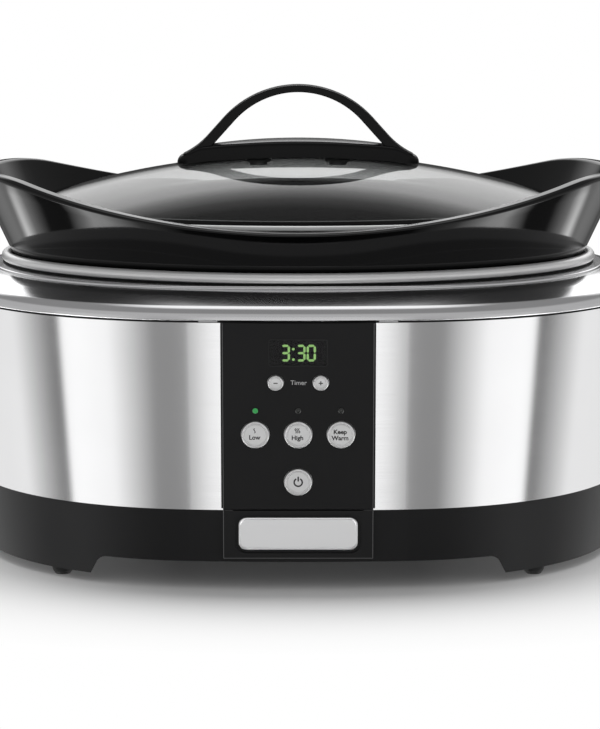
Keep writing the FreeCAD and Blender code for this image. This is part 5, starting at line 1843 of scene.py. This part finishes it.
@dataclass(frozen=True)
class Lid:
    """Domed glass lid and its arched handle."""

    # Glass
    half_length: float = 0.1586
    half_depth: float = 0.1181
    foot: float = 0.1863
    edge: float = 0.0027
    rise: float = 0.0275
    glass: float = 0.0035
    land: float = 0.008
    hub_share: float = 0.06
    rows: int = 26
    edge_rounding: float = 0.0011
    edge_run: Point = (-0.006, 0.002)
    ground_share: float = 0.99
    screw_place: float = 0.022
    screw_hole: float = 0.004
    # Handle's base
    seat_gap: float = 0.0003
    handle_half_length: float = 0.067
    handle_half_width: float = 0.0157
    handle_end_half_width: float = 0.009
    handle_base_top: float = 0.2257
    handle_crown: float = 0.0005
    handle_shoulder: float = 0.054
    handle_tip: float = 0.005
    handle_tip_slope: float = math.radians(25)
    flank_power: int = 14
    flank_root: float = 0.16
    lower_sheet: float = -1.0
    # Strap
    handle_top: float = 0.2555
    strap_thickness: float = 0.0038
    strap_half_width: float = 0.0075
    strap_outer: float = 0.056
    strap_inner: float = 0.047
    strap_slope: float = math.radians(48)
    strap_knee: float = 0.2274
    strap_foot: float = 0.043
    strap_rounding: float = 0.0011

    def build(self) -> None:
        """Build and dress the glass and the handle."""
        dome = self.dome()
        settle(dome, "lid", "lid_glass", nodes=["glass_lid"])
        self.grind_edge(dome)
        settle(self.handle(), "lid", "handle_plastic", nodes=["lid_handle"])

    def dome_height(self, across: float, depth: float) -> float:
        """Height of the glass's outside above a point of the plan."""
        step = (across / self.half_length) ** 2 + (depth / self.half_depth) ** 2
        return self.foot + self.edge + self.rise * (1 - step)

    def dome(self) -> bpy.types.Object:
        """Glass dome with a rounded edge and two holes for the handle's screws.

        Returns:
            The glass, in its place.
        """
        line = (self.half_length, self.half_depth)
        inner_line = (self.half_length - self.land, self.half_depth - self.land)
        edge_top = self.foot + self.edge
        steps = [self.hub_share + (1 - self.hub_share) * count / self.rows
                 for count in range(self.rows + 1)]
        edge = soften([
            (-self.land, self.foot, 0),
            (0, self.foot, self.edge_rounding),
            (0, edge_top, self.edge_rounding),
            (self.edge_run[0], edge_top + self.edge_run[1], 0),
        ])
        rings = self.bowl(inner_line, self.foot, self.edge + self.rise - self.glass, steps)
        rings += rings_about(line, edge[1:-1])
        rings += self.bowl(line, edge_top, self.rise, steps[-2::-1])
        piece = raise_rings("lid_dome", rings, segments=160)
        hole = [(self.screw_hole, self.foot), (self.screw_hole, self.handle_base_top)]
        for side in (-1, 1):
            cutter = raise_rings("screw_hole", rings_about(AXIS, hole), segments=32)
            set_down(cutter, Matrix.Translation((side * self.screw_place, 0, 0)))
            cut_away(piece, cutter)
        smooth(piece, sharp=50.0)
        return piece

    @staticmethod
    def bowl(line: Point, foot: float, rise: float, steps: Sequence[float]) -> list[Ring]:
        """Rings of an upturned bowl.

        Args:
            line: Half length and half depth of the bowl's edge.
            foot: The edge's height.
            rise: How far the bowl's middle lies above its edge.
            steps: The size of each ring, as a share of the edge's.

        Returns:
            The rings, in the order of the steps.
        """
        return [Ring(line[0] * step, line[1] * step, foot + rise * (1 - step ** 2)) for step in steps]

    def grind_edge(self, dome: bpy.types.Object) -> None:
        """Give the upright edge of the glass its ground look.

        Args:
            dome: The glass, with its finish on.
        """
        dome.data.materials.append(GROUND_EDGE.material())
        for face in dome.data.polygons:
            across = face.center.x / self.half_length
            depth = face.center.y / self.half_depth
            if math.hypot(across, depth) > self.ground_share and abs(face.normal.z) < FACING:
                face.material_index = 1

    @property
    def arch_centre(self) -> float:
        """Height of the centre of the strap's arch."""
        return self.handle_top - self.strap_outer

    @property
    def knee(self) -> Vector:
        """Where the strap's straight leg ends and its outward sweep starts.

        Returns:
            Its place across and up.
        """
        slope = self.strap_slope
        drop = self.arch_centre + self.strap_outer * math.cos(slope) - self.strap_knee
        return Vector((self.strap_outer * math.sin(slope) + drop / math.tan(slope), self.strap_knee))

    @property
    def sweep_centre(self) -> Vector:
        """Centre of the strap's outward sweep."""
        slope = self.strap_slope
        return self.knee + self.strap_foot * Vector((math.sin(slope), math.cos(slope)))

    @property
    def sweep_end(self) -> Vector:
        """Where the strap runs out on the top of the base."""
        slope = self.handle_tip_slope
        return self.sweep_centre - self.strap_foot * Vector((math.sin(slope), math.cos(slope)))

    def boat_half_width(self, across: float) -> float:
        """Half the width of the handle's base at a distance from its middle.

        Args:
            across: The distance, to either side.

        Returns:
            Half the width.
        """
        end = self.handle_end_half_width
        flank = self.handle_half_length - end
        across = abs(across)
        if across > flank:
            return math.sqrt(max(end ** 2 - (across - flank) ** 2, 0.0))
        return end + (self.handle_half_width - end) * (1 - (across / flank) ** 2)

    def boat_top(self, across: float) -> float:
        """Height of the base's top: bowed between the strap's feet, then sloping to a round tip.

        Args:
            across: The distance from the middle, to either side.

        Returns:
            The height.
        """
        across = abs(across)
        fall = math.tan(self.handle_tip_slope)
        tip_start = self.handle_half_length - self.handle_tip * (1 - math.sin(self.handle_tip_slope))
        shoulder = self.sweep_end.y + (self.sweep_end.x - self.handle_shoulder) * fall
        if across < self.handle_shoulder:
            share = across / self.handle_shoulder
            return self.handle_base_top - (self.handle_base_top - shoulder) * share ** 2
        if across < tip_start:
            return shoulder - (across - self.handle_shoulder) * fall
        tip_height = shoulder - (tip_start - self.handle_shoulder) * fall
        low = tip_height - self.handle_tip * math.cos(self.handle_tip_slope)
        inset = across - (self.handle_half_length - self.handle_tip)
        return low + math.sqrt(max(self.handle_tip ** 2 - inset ** 2, 0.0))

    def boat_spot(self, spot: Vector) -> Vector:
        """Place on the base of a point of its flat grid, whose lower sheet follows the glass.

        Args:
            spot: A point of the two sheets of the grid.

        Returns:
            Its place on the base.
        """
        across = self.handle_half_length * math.sin(math.pi / 2 * spot.x)
        share = max(-1.0, min(1.0, math.sin(math.pi / 2 * spot.y)))
        depth = self.boat_half_width(across) * share
        seat = self.dome_height(across, depth) + self.seat_gap
        if spot.z < self.lower_sheet / 2:
            return Vector((across, depth, seat))
        height = max(self.boat_top(across) - self.handle_crown * share ** 2 - seat, 0.0)
        full = (1 - abs(share) ** self.flank_power) ** self.flank_root
        return Vector((across, depth, seat + height * full))

    def handle_base(self) -> bpy.types.Object:
        """Boat-shaped base whose underside follows the glass.

        Returns:
            The base, in its place.
        """
        put_down_all()
        bpy.ops.mesh.primitive_grid_add(x_subdivisions=96, y_subdivisions=28, size=2.0)
        piece = named("handle_base")
        with editing(piece):
            bpy.ops.mesh.select_all(action="SELECT")
            bpy.ops.mesh.duplicate()
            bpy.ops.transform.translate(value=(0, 0, self.lower_sheet))
        move_points(piece, self.boat_spot)
        clean(piece)
        return piece

    def strap(self) -> bpy.types.Object:
        """Arched strap: a round top, straight legs, and feet that sweep out along the base.

        Returns:
            The strap, in its place.
        """
        slope = math.degrees(self.strap_slope)
        inner = self.strap_inner
        inner_centre = self.handle_top - self.strap_thickness - inner
        outside = arc((0, self.arch_centre), self.strap_outer, 90, 90 - slope, steps=18)
        outside += arc(tuple(self.sweep_centre), self.strap_foot, 270 - slope,
                       270 - math.degrees(self.handle_tip_slope), steps=8)
        hip = inner * math.cos(self.strap_slope) + inner_centre
        low = self.dome_height(0, 0)
        inside = [(inner * math.sin(self.strap_slope) + (hip - low) / math.tan(self.strap_slope), low)]
        inside += arc((0, inner_centre), inner, 90 - slope, 90, steps=18)
        half = outside + inside
        loop = half + [(-across, up) for across, up in reversed(half)][1:-1]
        piece = draw_line("strap", [Vector((across, -self.strap_half_width, up)) for across, up in loop])
        with editing(piece):
            bpy.ops.mesh.select_all(action="SELECT")
            bpy.ops.mesh.remove_doubles(threshold=SEAM)
            bpy.ops.mesh.edge_face_add()
            wide = (0, 2 * self.strap_half_width, 0)
            bpy.ops.mesh.extrude_region_move(TRANSFORM_OT_translate={"value": wide})
        clean(piece)
        apply_modifier(piece, "BEVEL", width=self.strap_rounding, segments=4, limit_method="ANGLE",
                       angle_limit=BEVEL_ANGLE)
        return piece

    def handle(self) -> bpy.types.Object:
        """Strap and base as one moulding.

        Returns:
            The handle, in its place.
        """
        piece = join("handle_moulding", [self.strap(), self.handle_base()])
        smooth(piece)
        return piece


# Studio


@dataclass(frozen=True)
class Studio:
    """Floor, light, surroundings and camera."""

    # Camera
    camera_place: Size = (0.0, -1.7, 0.35374)
    camera_pitch: float = 8.52
    lens: float = 151.52
    sensor: float = 36.0
    shift: float = 0.00247
    clip_end: float = 30.0
    # Floor
    floor_size: float = 12.0
    floor_level: float = 0.85
    painted_floor_light: float = 0.02
    painted_side_light: float = 0.08
    side_start: float = 0.05
    side_run: float = 0.07
    floor_squeeze: float = 0.77
    fade_start: float = 0.15
    fade_end: float = 0.275
    # Light
    softbox_size: Point = (1.3, 0.8)
    softbox_place: Size = (0.0, 0.25, 1.35)
    softbox_tilt: float = math.radians(-10)
    softbox_power: float = 15.0
    # Surroundings
    ambient: float = 0.5
    white: float = 1.35
    low_light: float = 5.5
    back_light: float = 1.4
    behind_glass: float = 0.12
    # Levels by the turn from the front (0) to the back (1), alike on both sides
    screens: Stops = (
        (0.0, 1.0), (0.058, 1.0), (0.074, 0.25), (0.15, 0.25), (0.27, 0.93), (0.4, 1.0),
        (0.409, 0.13), (0.425, 0.15), (0.56, 0.8), (0.76, 0.75), (0.86, 0.14), (1.0, 0.14))
    low_cards: Stops = (
        (0.0, 0.001), (0.24, 0.01), (0.34, 0.16), (0.4, 0.65), (0.43, 0.95), (0.465, 1.0), (0.49, 0.5),
        (0.53, 0.02), (0.6, 0.02), (0.66, 0.3), (0.705, 1.0), (0.76, 0.3), (0.8, 0.05), (1.0, 0.02))
    back_edge: Stops = ((0.7, 0.0), (0.85, 1.0))
    # Levels by height, from straight down (0) over level (0.5) to straight up (1)
    front_wall: Stops = ((0.45, 0.4), (0.58, 0.4), (0.63, 0.22), (0.85, 0.22), (0.92, 0.9), (1.0, 1.0))
    back_wall: Stops = (
        (0.5, 0.03), (0.54, 0.05), (0.585, 0.75), (0.66, 1.0), (0.7, 0.95), (0.722, 0.5),
        (0.747, 0.17), (0.77, 0.055), (0.82, 0.035), (0.86, 0.57), (1.0, 0.71))
    low_edge: Stops = ((0.345, 1.0), (0.36, 0.0))
    high_edge: Stops = ((0.432, 0.0), (0.452, 1.0))

    def build(self) -> None:
        """Set up the whole studio."""
        self.set_floor()
        self.set_light()
        self.set_world()
        self.set_camera()
        bpy.context.scene.view_settings.view_transform = "Standard"

    def set_floor(self) -> None:
        """Pale floor that keeps the shadow near the cooker and is plain white far from it, with painted
        light that lightens that shadow a little, more to the sides.
        """
        put_down_all()
        bpy.ops.mesh.primitive_plane_add(size=self.floor_size)
        floor = named("floor")
        made = bpy.data.materials.new("floor_paper")
        made.use_nodes = True
        bench = NodeBench(made.node_tree)
        spot = bench.place((self.floor_squeeze, 1.0, 1.0))
        far = bench.node("VectorMath", {0: spot}, "Value", operation="LENGTH")
        fade = bench.clamp((far - self.fade_start) / (self.fade_end - self.fade_start))
        across = bench.sum("ABSOLUTE", bench.split(spot)[0])
        # Painted light: for the camera the floor glows a little even in the cooker's shadow, and more to
        # the sides.
        side_light_share = bench.clamp((across - self.side_start) / self.side_run)
        painted_light = self.painted_floor_light + side_light_share * self.painted_side_light
        share = painted_light + (1.0 - painted_light) * fade
        paper = bench.node("BsdfDiffuse", {"Color": rgba(WHITE, self.floor_level)})
        white = bench.node("Emission", {"Color": rgba(WHITE), "Strength": 1.0})
        mixed = bench.node("MixShader", {0: share * bench.light_path("Camera"), 1: paper, 2: white})
        bench.end("OutputMaterial", mixed)
        floor.data.materials.append(made)
        floor.visible_glossy = False

    def set_light(self) -> None:
        """One wide soft light overhead, a little behind the cooker."""
        lamp = bpy.data.lights.new("overhead_softbox", "AREA")
        lamp.shape = "RECTANGLE"
        lamp.size, lamp.size_y = self.softbox_size
        lamp.energy = self.softbox_power
        holder = bpy.data.objects.new("overhead_softbox", lamp)
        bpy.context.scene.collection.objects.link(holder)
        holder.location = self.softbox_place
        holder.rotation_euler = (self.softbox_tilt, 0.0, 0.0)
        holder.visible_glossy = False
        holder.visible_transmission = False

    def set_world(self) -> None:
        """White to the camera, dim behind the glass, and screens and cards for what is polished."""
        world = bpy.data.worlds.new("studio_surroundings")
        bpy.context.scene.world = world
        world.use_nodes = True
        bench = NodeBench(world.node_tree)
        glossy = bench.light_path("Glossy")
        camera = bench.light_path("Camera")
        through = bench.light_path("Transmission")
        mirrored = glossy * self.mirrored(bench) + (1.0 - glossy) * self.ambient
        unseen = 1.0 - bench.clamp(camera + through)
        level = camera + through * self.behind_glass + unseen * mirrored
        light = bench.node("Background", {"Color": rgba(WHITE), "Strength": level})
        bench.end("OutputWorld", light)

    def mirrored(self, bench: NodeBench) -> Value:
        """What polished pieces mirror: cards below, screens round about, walls and a ceiling above.

        Args:
            bench: Where the world's nodes are added.

        Returns:
            The level in each direction.
        """
        across, along, upward = bench.split(bench.node("TexCoord", output="Generated"))
        side = bench.sum("ARCTAN2", bench.sum("ABSOLUTE", across), -1.0 * along) / math.pi
        up = bench.sum("ARCSINE", upward) / math.pi + 0.5
        low = bench.ramp(up, self.low_edge)
        high = bench.ramp(up, self.high_edge)
        turned = bench.ramp(side, self.back_edge)
        below = bench.ramp(side, self.low_cards) * self.low_light
        about = bench.ramp(side, self.screens) * self.white
        behind = bench.ramp(up, self.back_wall) * self.back_light
        above = (bench.ramp(up, self.front_wall) * (1.0 - turned) + behind * turned) * self.white
        return below * low + about * (1.0 - low) * (1.0 - high) + above * high

    def set_camera(self) -> None:
        """Long lens in front of the cooker, a little above it."""
        data = bpy.data.cameras.new("front_camera")
        data.lens = self.lens
        data.sensor_width = self.sensor
        data.shift_x = self.shift
        data.clip_end = self.clip_end
        camera = bpy.data.objects.new("front_camera", data)
        bpy.context.scene.collection.objects.link(camera)
        camera.location = self.camera_place
        camera.rotation_euler = (math.radians(90 - self.camera_pitch), 0.0, 0.0)
        bpy.context.scene.camera = camera


def dress_nodes(frame: dict[str, Any]) -> None:
    """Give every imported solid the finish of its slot, and the lid's washers one of their own.

    Args:
        frame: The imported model, as it was loaded.
    """
    for part in frame["record"]["subparts"]:
        node = frame["nodes"][part["node"]]
        washer = part["node"].startswith("handle_washer")
        finish = PALE_SILICONE if washer else SLOT_FINISHES[part["material_slot"]]
        finish.put_on(node)


def main() -> None:
    """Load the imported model, build and dress the pieces, and set up the studio."""
    logging.basicConfig(level=logging.INFO, format="%(message)s")
    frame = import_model()
    dress_nodes(frame)
    Housing().build()
    ControlPanel().build()
    Crock().build()
    Lid().build()
    Studio().build()
    put_down_all()


if __name__ == "__main__":
    main()
